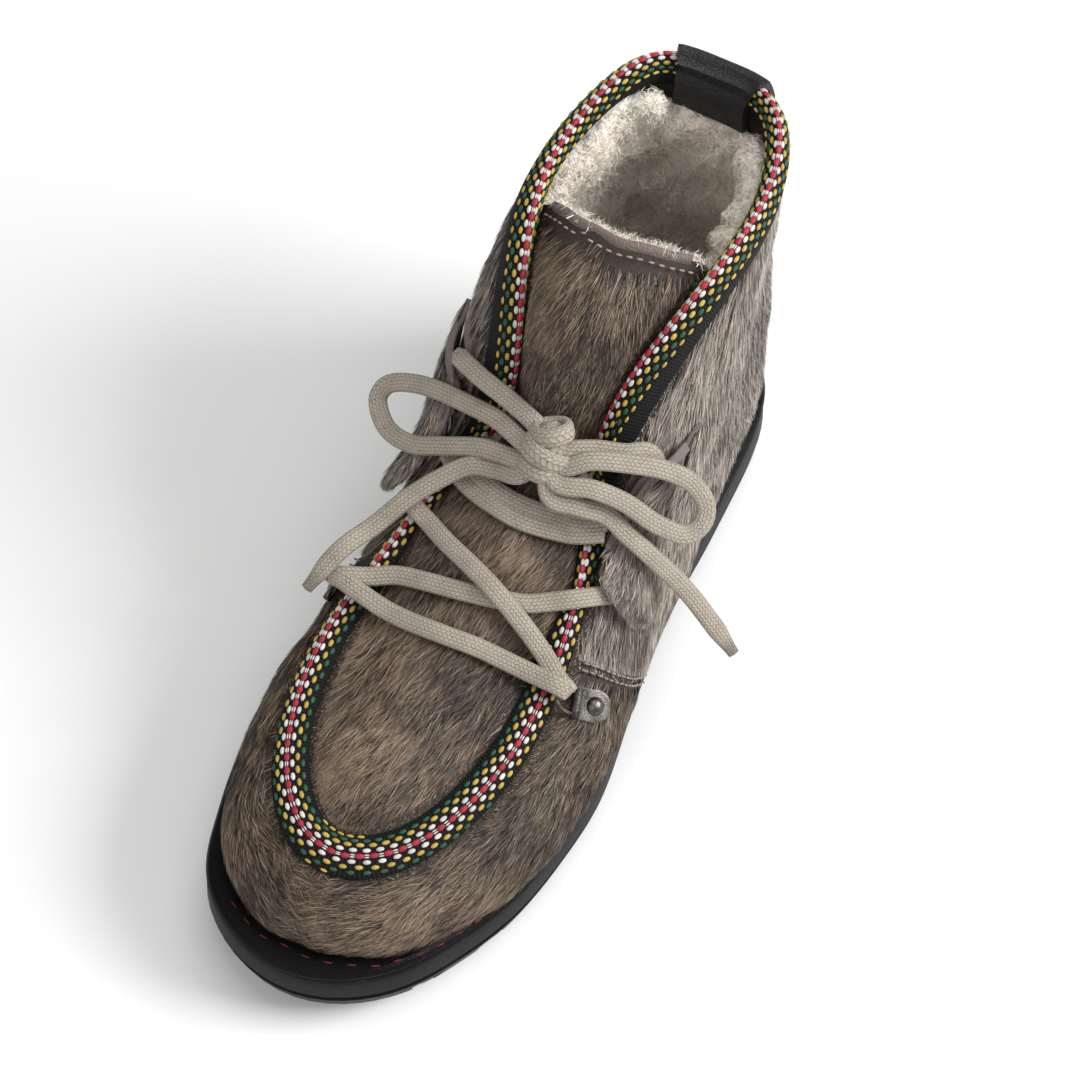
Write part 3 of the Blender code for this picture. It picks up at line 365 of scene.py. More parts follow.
def add_lace(name, tubes, material):
    """Joins lace tubes in one piece, with their weave places and dark tips."""
    points, faces, corners, tips = [], [], [], []
    for _, more, more_faces, more_corners, more_tips in tubes:
        first = sum(len(p) for p in points)
        points.append(more)
        faces += [tuple(first + v for v in face) for face in more_faces]
        corners += more_corners
        tips.append(more_tips)
    piece = add_piece(name, np.concatenate(points), faces, material)
    layer = piece.data.uv_layers.new(name="weave")
    layer.data.foreach_set("uv", np.array(corners, np.float32).ravel())
    tip = piece.data.attributes.new("tip", "FLOAT", "POINT")
    tip.data.foreach_set("value", np.concatenate(tips).astype(np.float32))
    return piece


def into_knot(point):
    """A point on the way from a strand's end to the middle of the knot."""
    return tuple(KNOT * LACE_INTO_KNOT + np.array(point) * (1 - LACE_INTO_KNOT))


lace_cotton = make_lace_finish()
laces = {}
for name, route in LACES.items():
    start = [into_knot(route[0])]
    end = [into_knot(route[-1])] if "loop" in name else []
    tube = lace_tube(start + route + end, tip="end" in name)
    laces[name] = (add_lace(f"tied_{name}", [tube], lace_cotton), tube[0])
    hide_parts(name)
for name, routes in LACE_CROSSINGS.items():
    piece = add_lace(f"tied_{name}", [lace_tube(route) for route in routes], lace_cotton)
    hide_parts(name)

# Knot: the middle of the bow, where the same lace wraps round itself twice, a small turn above
# a wide one, drawn tight.
KNOT_AXIS = unit(np.array((0.0, -0.469, -0.883)))
KNOT_TURNS = [
    {"at": -0.0062, "wide": 0.0050, "deep": 0.0040, "lean": -24, "width": 0.0064},
    {"at": 0.0010, "wide": 0.0068, "deep": 0.0050, "lean": 16, "width": 0.0072},
    {"at": 0.0066, "wide": 0.0060, "deep": 0.0046, "lean": 2, "width": 0.0064},
]
KNOT_BAND = 0.0034
KNOT_CORE = (0.0056, 0.0046, 0.0096)
KNOT_FOLD = 0.0014


def knot_turn(turn):
    """A closed turn of lace round the knot's long axis."""
    out = unit(view_back - KNOT_AXIS * (view_back @ KNOT_AXIS))
    side = np.cross(KNOT_AXIS, out)
    lean = math.radians(turn["lean"])
    axis = KNOT_AXIS * math.cos(lean) + side * math.sin(lean)
    side = np.cross(axis, out)
    centre = KNOT + KNOT_AXIS * turn["at"]
    rings, sides = 56, LACE_SIDES
    points, corners, faces = [], [], []
    for i in range(rings):
        angle = 2 * math.pi * i / rings
        away = side * math.cos(angle) * turn["wide"] + out * math.sin(angle) * turn["deep"]
        for k in range(sides):
            t = 2 * math.pi * k / sides
            across = math.copysign(abs(math.cos(t)) ** 0.7, math.cos(t)) * turn["width"] / 2
            lift = math.copysign(abs(math.sin(t)) ** 0.85, math.sin(t)) * KNOT_BAND / 2
            points.append(centre + away + axis * across + unit(away) * lift)
    girth = math.pi * (turn["wide"] + turn["deep"])
    for i in range(rings):
        for k in range(sides):
            j, m = (i + 1) % rings, (k + 1) % sides
            faces.append((i * sides + k, i * sides + m, j * sides + m, j * sides + k))
            u, v = girth * i / rings, girth * (i + 1) / rings
            corners += [(u, k / sides), (u, (k + 1) / sides), (v, (k + 1) / sides), (v, k / sides)]
    return None, np.array(points), faces, corners, np.zeros(len(points))


def knot_core():
    """What is left between the turns: the lace folded on itself."""
    rows, sides = 12, 24
    out = unit(view_back - KNOT_AXIS * (view_back @ KNOT_AXIS))
    side = np.cross(KNOT_AXIS, out)
    points, corners, faces = [], [], []
    for i in range(rows + 1):
        fall = math.pi * (0.02 + 0.96 * i / rows)
        for k in range(sides):
            t = 2 * math.pi * k / sides
            bulge = math.sin(fall) ** 0.8
            points.append(KNOT + KNOT_AXIS * math.cos(fall) * KNOT_CORE[2]
                          + side * math.cos(t) * bulge * KNOT_CORE[0]
                          + out * math.sin(t) * bulge * KNOT_CORE[1])
    for i in range(rows):
        for k in range(sides):
            m = (k + 1) % sides
            faces.append((i * sides + k, (i + 1) * sides + k, (i + 1) * sides + m, i * sides + m))
            u, v = i * KNOT_FOLD, (i + 1) * KNOT_FOLD
            corners += [(u, k / sides), (v, k / sides), (v, (k + 1) / sides), (u, (k + 1) / sides)]
    for row in (range(sides), range(rows * sides + sides - 1, rows * sides - 1, -1)):
        faces.append(tuple(row))
        corners += [(0, 0.25)] * sides
    return None, np.array(points), faces, corners, np.zeros(len(points))


knot = add_lace("tied_knot", [knot_core()] + [knot_turn(t) for t in KNOT_TURNS], lace_cotton)
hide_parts("lace_knot")
LACE_TIES = {
    "lace_run_lateral": (-1, "object", "taut"),
    "lace_run_medial": (-1, "object", "taut"),
    "lace_loop_medial": (0, "object", "loose"),
    "lace_loop_lateral": (0, "object", "loose"),
    "lace_end_medial": (0, "bare", "loose"),
    "lace_end_lateral": (0, "bare", "loose"),
}
for name, (leaves, far_end, lay) in LACE_TIES.items():
    piece, line = laces[name]
    line = line[::-1] if leaves else line
    length = float(np.linalg.norm(np.diff(line, axis=0), axis=1).sum())
    held = [knot] if name == "lace_run_medial" else []

# Upper: vamp, apron and quarters of hair-on hide, lasted over the sole. The form is the
# solid's own, rounded, with soft creases at the ankle and a groove down the toe's seam.
HIDE_SKIN = (0.045, 0.032, 0.024)
SEAM_FRONT_TOP = (-0.1331, 0.0722)
SEAM_FRONT_LOW = (-0.1092, 0.0343)
SEAM_BARE = 0.0016
SEAM_STUBBLE = 0.0010
HIDE_WAVES = (0.0004, 0.030)
# Each crease: its two ends, how wide it is and how deep.
CREASES = [
    ((-0.0050, -0.2460, 0.0300), (-0.0045, -0.2260, 0.0570), 0.0028, 0.0014),
    ((0.0400, -0.0700, 0.0880), (0.0530, -0.0640, 0.0500), 0.0060, 0.0016),
    ((-0.0420, -0.0640, 0.0880), (-0.0520, -0.0580, 0.0500), 0.0060, 0.0016),
    ((0.0300, -0.0060, 0.1250), (0.0180, 0.0230, 0.0950), 0.0080, 0.0014),
    ((-0.0300, -0.0060, 0.1200), (-0.0180, 0.0230, 0.0900), 0.0080, 0.0014),
    ((-0.0200, -0.1290, 0.0900), (0.0200, -0.1290, 0.0900), 0.0070, 0.0010),
    ((-0.0220, -0.1660, 0.0740), (0.0180, -0.1620, 0.0740), 0.0100, -0.0008),
]


def soft_copy(node, name, levels, sharp, *materials):
    """The solid's form in quads, rounded by subdivision, with edges over sharp kept."""
    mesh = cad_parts[node].data.copy()
    mesh.name = name
    mesh.materials.clear()
    for material in materials:
        mesh.materials.append(material)
    work = bmesh.new()
    work.from_mesh(mesh)
    bmesh.ops.remove_doubles(work, verts=work.verts, dist=0.00002)
    bmesh.ops.join_triangles(work, faces=work.faces, angle_face_threshold=math.radians(30),
                             angle_shape_threshold=math.radians(70))
    crease = work.edges.layers.float.new("crease_edge")
    for edge in work.edges:
        edge.smooth = edge.calc_face_angle(0) < math.radians(sharp)
        edge[crease] = 0 if edge.smooth else 0.85
    for face in work.faces:
        face.material_index = 0
        face.smooth = True
    work.to_mesh(mesh)
    work.free()
    piece = bpy.data.objects.new(name, mesh)
    bpy.context.scene.collection.objects.link(piece)
    if levels:
        rounding = piece.modifiers.new("rounding", "SUBSURF")
        rounding.levels = rounding.render_levels = levels
        view = bpy.context.evaluated_depsgraph_get()
        piece.data = bpy.data.meshes.new_from_object(piece.evaluated_get(view))
        piece.modifiers.clear()
    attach(piece, "root")
    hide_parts(node)
    return piece


class Skin:
    """A mesh's points, triangles and normals, and a search for its nearest place."""

    def __init__(self, piece):
        mesh = piece.data
        mesh.calc_loop_triangles()
        self.points = np.empty((len(mesh.vertices), 3))
        mesh.vertices.foreach_get("co", self.points.ravel())
        self.triangles = np.empty((len(mesh.loop_triangles), 3), int)
        mesh.loop_triangles.foreach_get("vertices", self.triangles.ravel())
        corners = self.points[self.triangles]
        face = np.cross(corners[:, 1] - corners[:, 0], corners[:, 2] - corners[:, 0])
        self.area = np.linalg.norm(face, axis=1) / 2
        self.facing = unit(face)
        self.middle = corners.mean(1)
        self.normals = np.zeros_like(self.points)
        for k in range(3):
            np.add.at(self.normals, self.triangles[:, k], face)
        self.normals = unit(self.normals)
        self.tree = BVHTree.FromPolygons(self.points.tolist(), self.triangles.tolist())

    def near(self, places):
        """Nearest points on the skin, their outward directions and distances."""
        found = [self.tree.find_nearest(p) for p in places.tolist()]
        spots = np.array([f[0] for f in found])
        index = np.array([f[2] for f in found])
        return spots, self.facing[index], np.array([f[3] for f in found])


def node_skin(name):
    return Skin(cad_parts[name])


def shift_points(piece, change):
    """Moves a piece's points by what change gives for them."""
    skin = Skin(piece)
    moved = skin.points + change(skin)
    piece.data.vertices.foreach_set("co", moved.ravel().astype(np.float32))
    piece.data.update()


def waves(places, size, seed):
    """Smooth noise of about unit strength, with features of the given size."""
    rng = np.random.default_rng(seed)
    pull = unit(rng.normal(size=(20, 3))) * rng.uniform(0.6, 1.7, (20, 1)) * 2 * np.pi / size
    return np.sin(places @ pull.T + rng.uniform(0, 2 * np.pi, 20)).sum(1) / math.sqrt(10)


def line_distance(places, ends):
    """How far places lie from a straight line between two ends, and where along it."""
    start, end = np.array(ends[0]), np.array(ends[1])
    step = end - start
    share = np.clip((places - start) @ step / (step @ step), 0, 1)
    return np.linalg.norm(places - start - share[:, None] * step, axis=1), share


def creased(skin):
    """Wide waves and soft creases on the hide's outer face."""
    change = HIDE_WAVES[0] * waves(skin.points, HIDE_WAVES[1], 3)
    for start, end, wide, deep in CREASES:
        far, share = line_distance(skin.points, (start, end))
        fade = np.sin(np.pi * np.clip(share, 0.04, 0.96)) ** 0.5
        change -= deep * np.exp(-((far / wide) ** 2)) * fade
    return skin.normals * (change * outer_share(skin.points))[:, None]


def outer_share(places):
    """1 on the hide's outer face and 0 on its inner one, beside the lining."""
    return ease((lining_solid.near(places)[2] - 0.0014) / 0.0012)


def make_skin_finish(name, colour):
    skin = Finish(name, Roughness=0.75)
    shade = skin.mix(skin.noise(240, 4.0), tuple(0.55 * c for c in colour), colour)
    return skin.feed(Base_Color=shade, Normal=skin.bump(skin.noise(1900, 3.0), 0.0004))


upper_solid, lining_solid = node_skin("upper"), node_skin("fleece_lining")
braid_solid = node_skin("braid")
hide_skin = make_skin_finish("hide_skin", HIDE_SKIN)
hide = soft_copy("upper", "hide_upper", 2, 48, hide_skin)
shift_points(hide, creased)
hide_form = Skin(hide)

# Hair: short coarse reindeer-like coat, dark at the root and pale at the tip. It lies toward
# the toe on the vamp and apron, and fans out from the lace slit over the quarters.
HAIR_WIDTH = 0.00034
HAIR_BRAID_NEAR = 0.0024
HAIR_BRAID_GAP = 0.0006
HAIR_SHORTEST = 0.0008
HAIR_ROOT = (0.010, 0.006, 0.004)
HAIR_MIDDLE = (0.068, 0.045, 0.029)
HAIR_TIP = (0.32, 0.232, 0.155)
PALE_ROOT = (0.036, 0.027, 0.021)
PALE_MIDDLE = (0.160, 0.129, 0.106)
PALE_TIP = (0.50, 0.44, 0.375)
ANKLE_TOPS = {1: (0.0330, -0.0080, 0.1850), -1: (-0.0330, -0.0080, 0.1800)}
PARTINGS = [
    ((0.0385, -0.0600, 0.1060), (0.0430, -0.0640, 0.0960)),
    ((0.0400, -0.0560, 0.1030), (0.0450, -0.0580, 0.0920)),
    ((0.0370, -0.0640, 0.1030), (0.0430, -0.0720, 0.0880)),
]
TOE_MIDDLE_X = -0.0045
SHAFT_CENTRE = (0.001, -0.015)
# The braid's crest, round the collar, down the throat and round the apron.
BRAID_CREST = [
    (0.0000, 0.0263, 0.1657), (0.0091, 0.0260, 0.1661), (0.0175, 0.0223, 0.1676),
    (0.0254, 0.0134, 0.1684), (0.0310, -0.0009, 0.1661), (0.0331, -0.0201, 0.1647),
    (0.0305, -0.0414, 0.1615), (0.0236, -0.0603, 0.1490), (0.0175, -0.0732, 0.1322),
    (0.0146, -0.0800, 0.1163), (0.0138, -0.0847, 0.1028), (0.0218, -0.1000, 0.0950),
    (0.0275, -0.1166, 0.0857), (0.0305, -0.1350, 0.0765), (0.0318, -0.1517, 0.0699),
    (0.0314, -0.1674, 0.0663), (0.0280, -0.1844, 0.0635), (0.0215, -0.2000, 0.0612),
    (0.0123, -0.2114, 0.0597), (0.0015, -0.2172, 0.0592), (-0.0091, -0.2171, 0.0592),
    (-0.0190, -0.2114, 0.0597), (-0.0281, -0.2001, 0.0612), (-0.0347, -0.1844, 0.0635),
    (-0.0380, -0.1674, 0.0663), (-0.0380, -0.1516, 0.0699), (-0.0347, -0.1349, 0.0765),
    (-0.0298, -0.1165, 0.0857), (-0.0247, -0.1000, 0.0950), (-0.0160, -0.0846, 0.1031),
    (-0.0146, -0.0801, 0.1164), (-0.0168, -0.0733, 0.1321), (-0.0225, -0.0603, 0.1486),
    (-0.0285, -0.0414, 0.1608), (-0.0305, -0.0201, 0.1641), (-0.0284, -0.0009, 0.1657),
    (-0.0237, 0.0134, 0.1681), (-0.0179, 0.0222, 0.1675), (-0.0100, 0.0258, 0.1661),
]
APRON_CREST = [point[:2] for point in BRAID_CREST[10:30]]


def in_apron(places):
    """Whether places, seen from above, lie inside the braid round the apron."""
    ring = np.array(APRON_CREST)
    inside = np.zeros(len(places), bool)
    for (x0, y0), (x1, y1) in zip(ring, np.roll(ring, -1, 0)):
        crosses = (y0 > places[:, 1]) != (y1 > places[:, 1])
        at = x0 + (places[:, 1] - y0) / (y1 - y0 + 1e-12) * (x1 - x0)
        inside ^= crosses & (places[:, 0] < at)
    return inside & (places[:, 2] > 0.045)


def behind_seam(places):
    """How far places lie behind the seam between vamp and quarter."""
    (y0, z0), (y1, z1) = SEAM_FRONT_TOP, SEAM_FRONT_LOW
    return places[:, 1] - (y0 + (z0 - places[:, 2]) * (y1 - y0) / (z0 - z1))


def apron_flow(places, normals):
    away = (places[:, 0] - TOE_MIDDLE_X) * 5
    return np.stack([away - 0.22, np.full(len(places), -1.0), np.full(len(places), -0.1)], 1)


def vamp_flow(places, normals):
    side = np.where(places[:, 0] > TOE_MIDDLE_X, -1.0, 1.0)[:, None]
    round_toe = unit(np.cross((0, 0, 1), normals)) * side
    return round_toe + np.array((0, -0.1, -0.28))


def quarter_flow(places, normals):
    top = np.where(places[:, :1] > 0, ANKLE_TOPS[1], ANKLE_TOPS[-1])
    low = ease((0.075 - places[:, 2:]) / 0.05) * ease((-0.04 - places[:, 1:2]) / 0.05)
    return unit(places - top) + low * np.array((0, -0.7, 0.1))


def tongue_flow(places, normals):
    return np.stack([places[:, 0] * 6 - 0.1, np.full(len(places), -0.45),
                     np.full(len(places), -0.9)], 1)


def wing_flow(places, normals):
    top = np.where(places[:, :1] > 0, ANKLE_TOPS[1], ANKLE_TOPS[-1])
    return unit(places - top) + np.array((0, -0.9, 0.05))


def make_hair_finish(name, root, middle, tip):
    hair = Finish(name, Roughness=0.52)
    strand = hair.attribute("strand", out="Color")
    along = hair.part(strand, 0)
    chance = hair.part(strand, 1)
    patches_and_shade = hair.part(strand, 2)
    body = hair.ramp(along + (patches_and_shade - 0.5) * 0.7 + (chance - 0.5) * 0.9,
                     (0.10, root), (0.50, middle), (1.0, tip))
    body = hair.mix(hair.between(chance, 0.86, 0.94) * 0.5, body, tip)
    body = hair.mix(hair.noise(55, 2.0) * 0.2, body, middle)
    return hair.feed(Base_Color=body)


def grow_hair(name, form, keep, flow, material, count, length, seed, spread=0.20, lift=0.0014,
              width=HAIR_WIDTH, curl=0.0, segments=2,
              seam_stops=False, tone=0.0):
    """Lays strands of hair on a form, as thin ribbons that follow it and stop at the braid."""
    rng = np.random.default_rng(seed)
    weight = form.area * keep(form)
    chosen = rng.choice(len(weight), count, p=weight / weight.sum())
    one, two = rng.random((2, count))
    over = one + two > 1
    one[over], two[over] = 1 - one[over], 1 - two[over]
    share = np.stack([1 - one - two, one, two], 1)[..., None]
    root = (form.points[form.triangles[chosen]] * share).sum(1)
    normal = unit((form.normals[form.triangles[chosen]] * share).sum(1))
    way = unit(flow(root, normal))
    way = unit(way - normal * (way * normal).sum(1)[:, None])
    side = np.cross(normal, way)
    bend = spread * (0.65 * waves(root, 0.006, seed + 1) + 0.35 * waves(root, 0.025, seed + 2)
                     + 0.8 * rng.normal(size=count))
    way = unit(way + side * bend[:, None])
    size = length * rng.uniform(0.62, 1.12, count) * (1 + 0.12 * waves(root, 0.02, seed + 3))
    braid_far = braid_solid.near(root)[2]
    tip_far = braid_solid.near(root + way * size[:, None])[2]
    blocked = tip_far < HAIR_BRAID_NEAR
    room = np.maximum(braid_far[blocked] - HAIR_BRAID_GAP, HAIR_SHORTEST)
    size[blocked] = np.minimum(size[blocked], room)
    if seam_stops:
        ahead = behind_seam(root + way * size[:, None])
        crossing = (behind_seam(root) > 0) & (ahead < SEAM_BARE)
        reach = (behind_seam(root) - SEAM_BARE) / (behind_seam(root) - ahead + 1e-9)
        size[crossing] *= np.clip(reach, 0.05, 1)[crossing]
        size[np.abs(behind_seam(root)) < SEAM_BARE] = SEAM_STUBBLE
    height = lift * rng.uniform(0.25, 1.35, count) * np.clip(size / length, 0.3, 1)
    lines = [root - normal * 0.0002]
    place, line_way = root, way
    for step in range(1, segments + 1):
        turn = curl * rng.normal(size=(count, 1))
        line_way = unit(line_way + np.cross(normal, line_way) * turn)
        spot, face, _ = form.near(place + line_way * (size / segments)[:, None])
        line_way = unit(line_way - face * (line_way * face).sum(1)[:, None])
        place = spot
        rise = height * (step / segments) ** 0.8
        lines.append(spot + face * rise[:, None])
    roll = rng.normal(size=count)[:, None] * 0.45
    flat = unit(np.cross(normal, way) + normal * roll)
    wide = width * rng.uniform(0.6, 1.2, count)[:, None] / 2
    points, shares = [], []
    for step, line in enumerate(lines[:-1]):
        slim = 1 - 0.35 * step / segments
        points += [line - flat * wide * slim, line + flat * wide * slim]
        shares += [step / segments] * 2
    points.append(lines[-1])
    shares.append(1.0)
    each = len(points)
    points = np.stack(points, 1).reshape(-1, 3)
    first = np.arange(count) * each
    ladder = [np.stack([first + 2 * s, first + 2 * s + 1, first + 2 * s + 3, first + 2 * s + 2], 1)
              for s in range(segments - 1)]
    end = np.stack([first + each - 3, first + each - 2, first + each - 1], 1)
    faces = [tuple(f) for block in ladder for f in block.tolist()]
    piece = add_piece(name, points, faces + [tuple(f) for f in end.tolist()], material)
    # The third channel holds random patches of tone, the dark partings and the piece's tone shift,
    # which on the tongue and the medial quarter is painted shade.
    patches_and_shade = 0.5 + tone + 0.20 * waves(root, 0.045, 71) + 0.12 * waves(root, 0.012, 72)
    patches_and_shade = np.clip(patches_and_shade, 0, 1)
    for ends in PARTINGS:
        patches_and_shade *= 1 - 0.9 * np.exp(-((line_distance(root, ends)[0] / 0.0012) ** 2))
    colour = np.ones((count, each, 4), np.float32)
    colour[..., 0] = np.array(shares)[None]
    colour[..., 1] = rng.random(count)[:, None]
    colour[..., 2] = patches_and_shade[:, None]
    layer = piece.data.attributes.new("strand", "FLOAT_COLOR", "POINT")
    layer.data.foreach_set("color", colour.ravel())
    return piece


outside = outer_share(hide_form.middle) * (hide_form.middle[:, 2] > 0.028)
apron_part = in_apron(hide_form.middle)
rear_part = behind_seam(hide_form.middle) > 0
shaft_way = (hide_form.facing[:, :2] * (hide_form.middle[:, :2] - SHAFT_CENTRE)).sum(1)
outside = outside * ((shaft_way > 0) | (hide_form.middle[:, 2] < 0.10))
coat = make_hair_finish("hide_hair", HAIR_ROOT, HAIR_MIDDLE, HAIR_TIP)
pale_coat = make_hair_finish("pale_hair", PALE_ROOT, PALE_MIDDLE, PALE_TIP)
HAIR_PARTS = [
    ("hair_vamp", outside * ~apron_part * ~rear_part, vamp_flow, coat, 52000, 0.0088, 11, -0.22),
    ("hair_apron", outside * apron_part, apron_flow, coat, 26000, 0.0095, 12, 0.0),
    ("hair_quarter_lateral", outside * ~apron_part * rear_part * (hide_form.middle[:, 0] > 0),
     quarter_flow, pale_coat, 38000, 0.0115, 13, 0.0),
    # Painted shade: the medial quarter's coat is set darker (tone -0.20) for the shade on the side
    # turned from the key lamp.
    ("hair_quarter_medial", outside * ~apron_part * rear_part * (hide_form.middle[:, 0] <= 0),
     quarter_flow, pale_coat, 27000, 0.0115, 14, -0.20),
]
for name, part_of_hide, flow, colour, count, length, seed, tone in HAIR_PARTS:
    grow_hair(name, hide_form, lambda form, part=part_of_hide: part, flow, colour, count, length,
              seed, seam_stops="apron" not in name, tone=tone)

# Side seams: where each quarter overlaps the vamp, its raw edge is sewn down with two rows of
# pale thread, from the hook to the sole.
SEAM_LINES = [
    [(0.0358, -0.1331, 0.0722), (0.0440, -0.1260, 0.0600), (0.0495, -0.1180, 0.0480),
     (0.0530, -0.1080, 0.0340)],
    [(-0.0420, -0.1331, 0.0722), (-0.0500, -0.1260, 0.0600), (-0.0550, -0.1180, 0.0480),
     (-0.0580, -0.1080, 0.0340)],
]
SEAM_ROWS = (-0.0010, 0.0013)
SEAM_STITCH = (0.0026, 0.0007, 0.0005)
SEAM_PITCH = 0.0034
STITCH_PROUD = 0.0009
THREAD_PALE = (0.42, 0.36, 0.30)
OVAL_SIDES = 8


def add_ovals(name, spots, material):
    """Small raised stitches, each given as place, along, across, sizes and colour."""
    turn = np.linspace(0, 2 * np.pi, OVAL_SIDES, endpoint=False)
    points, faces, colours = [], [], []
    for centre, along, across, (long, wide, high), colour in spots:
        out = unit(np.cross(along, across))
        first = len(points)
        for share, rise in ((1.0, -0.35), (0.94, 0.35), (0.62, 0.85)):
            for angle in turn:
                points.append(centre + along * math.cos(angle) * long / 2 * share
                              + across * math.sin(angle) * wide / 2 * share + out * high * rise)
        points.append(centre + out * high)
        for ring in range(2):
            for k in range(OVAL_SIDES):
                m = (k + 1) % OVAL_SIDES
                a, b = first + ring * OVAL_SIDES, first + (ring + 1) * OVAL_SIDES
                faces.append((a + k, a + m, b + m, b + k))
        for k in range(OVAL_SIDES):
            last = first + 2 * OVAL_SIDES
            faces.append((last + k, last + (k + 1) % OVAL_SIDES, first + 3 * OVAL_SIDES))
        faces.append(tuple(first + k for k in reversed(range(OVAL_SIDES))))
        colours += [colour] * (3 * OVAL_SIDES + 1)
    piece = add_piece(name, points, faces, material)
    layer = piece.data.attributes.new("yarn", "FLOAT_COLOR", "POINT")
    full = np.ones((len(colours), 4), np.float32)
    full[:, :3] = colours
    layer.data.foreach_set("color", full.ravel())
    return piece


def make_thread_finish():
    thread = Finish("sewing_thread", Roughness=0.6)
    yarn = thread.attribute("yarn", out="Color")
    body = thread.mix(thread.noise(1500, 2.0), yarn, (0.6, 0.6, 0.6), how="MULTIPLY")
    twist = thread.node("ShaderNodeTexWave", {"bands_direction": "DIAGONAL"},
                        Vector=thread.place(), Scale=900.0, Distortion=1.0)
    return thread.feed(Base_Color=body, Normal=thread.bump(twist, 0.0003))


def sewn_line(route, form, shift, pitch, sizes, colour, sink=0.0, outward=(0, 0, 0)):
    """Spots for a row of stitches that follows a route on a form, shifted to its side."""
    line, _ = smooth_route(route, pitch)
    tangent = unit(np.gradient(line, axis=0))
    spots, facing, _ = form.near(line + np.array(outward) * 0.004)
    across = unit(np.cross(facing, tangent))
    spots, facing, _ = form.near(spots + across * shift)
    across = unit(np.cross(facing, tangent))
    along = np.cross(across, facing)
    places = spots + facing * (sizes[2] * 0.5 - sink)
    return [(p, a, c, sizes, colour) for p, a, c in zip(places, along, across)]


thread = make_thread_finish()
spots = []
for route in SEAM_LINES:
    for shift in SEAM_ROWS:
        spots += sewn_line(route, hide_form, shift, SEAM_PITCH, SEAM_STITCH, THREAD_PALE,
                           -STITCH_PROUD, (math.copysign(0.95, route[0][0]), 0, 0.3))
seam_stitches = add_ovals("seam_stitches", spots, thread)

# Tongue: hair-on hide backed with shearling, its top edge bound in mauve-brown leather and
# sewn with one beige row. It stands behind the throat's edges.
TONGUE_FRONT = unit(np.array((0.0, -0.88, 0.47)))
TONGUE_RISE_WAY = unit(np.array((0.0, 0.47, 0.88)))
TONGUE_BEND = (0.125, 0.165)
TONGUE_DROP = 0.012
TONGUE_BOW = 0.005
BINDING_WIDTH = 0.0034
BINDING_THICKNESS = 0.0024
BINDING_COLOUR = (0.19, 0.145, 0.125)
BINDING_STITCH_DROP = 0.0036
BINDING_PITCH = 0.0030
BINDING_THREAD = (0.55, 0.45, 0.33)
BINDING_STITCH = (0.0021, 0.0007, 0.0005)
FLEECE_PALE = (0.95, 0.90, 0.82)
FLEECE_DEEP = (0.80, 0.70, 0.59)


def make_fleece_finish():
    wool = Finish("shearling", Roughness=0.95)
    depth = wool.noise(95, 4.0)
    body = wool.ramp(depth, (0.32, FLEECE_DEEP), (0.60, FLEECE_PALE))
    body = wool.mix(wool.between(wool.noise(22, 2.0), 0.52, 0.72) * 0.35, body, FLEECE_DEEP)
    curl = wool.noise(420, 4.0) + wool.noise(1400, 2.0) * 0.4
    return wool.feed(Base_Color=body, Normal=wool.bump(curl, 0.0016))


def make_wool_finish():
    wool = Finish("wool_strands", Roughness=0.9)
    strand = wool.attribute("strand", out="Color")
    tone = wool.part(strand, 0) * 0.5 + wool.part(strand, 2) * 0.5
    return wool.feed(Base_Color=wool.ramp(tone, (0.1, FLEECE_DEEP), (0.65, FLEECE_PALE)))


def make_leather_finish(name, colour, roughness, grain=900.0):
    leather = Finish(name, Roughness=roughness)
    cell = leather.node("ShaderNodeTexVoronoi", {"feature": "DISTANCE_TO_EDGE"},
                        Vector=leather.place(), Scale=grain)
    fold = leather.noise(130, 3.0)
    shade = leather.mix(leather.noise(60, 3.0), tuple(0.7 * c for c in colour), colour)
    height = leather.between(cell, 0.0, 0.25) * 0.6 + fold * 0.5
    return leather.feed(Base_Color=shade, Normal=leather.bump(height, 0.00025))


def hollowed(skin):
    """How far each point moves so that the top edge hangs lower and bows forward in its middle,
    the hide more than the wool behind it."""
    high = skin.points[skin.points[:, 2] > TONGUE_BEND[0], 0]
    middle, half = (high.max() + high.min()) / 2, (high.max() - high.min()) / 2
    share = 1 - np.clip(np.abs(skin.points[:, 0] - middle) / half, 0, 1) ** 2
    share *= ease((skin.points[:, 2] - TONGUE_BEND[0]) / (TONGUE_BEND[1] - TONGUE_BEND[0]))
    share *= 0.55 + 0.45 * ease((skin.normals @ TONGUE_FRONT + 0.3) / 0.9)
    return share[:, None] * (np.array((0, -TONGUE_BOW, 0)) - TONGUE_DROP * TONGUE_RISE_WAY)


def top_edge(form, faces, axis, up, bins):
    """The upper edge of some faces of a form, from one end of an axis to the other."""
    points = form.points[np.unique(form.triangles[faces])]
    low, high = points[:, axis].min(), points[:, axis].max()
    marks = np.linspace(low, high, bins + 1)
    line = []
    for start, end in zip(marks, marks[1:]):
        within = points[(points[:, axis] >= start) & (points[:, axis] <= end)]
        if len(within):
            line.append(within[np.argmax(within @ up)])
    return blur(np.array(line), 1)


wool = make_fleece_finish()
wool_strands = make_wool_finish()
tongue = soft_copy("tongue", "hide_tongue", 2, 48, hide_skin, wool)
shift_points(tongue, hollowed)
tongue_form = Skin(tongue)
for polygon in tongue.data.polygons:
    facing = np.array(polygon.normal)
    polygon.material_index = 0 if facing @ TONGUE_FRONT > 0.25 else 1
tongue_top = top_edge(tongue_form, tongue_form.facing @ TONGUE_FRONT > 0.6, 0, TONGUE_RISE_WAY, 14)
to_top = np.linalg.norm(tongue_form.middle[:, None] - tongue_top[None], axis=2).min(1)
hairy = (tongue_form.facing @ TONGUE_FRONT > 0.25) & (tongue_form.middle[:, 2] > 0.094)
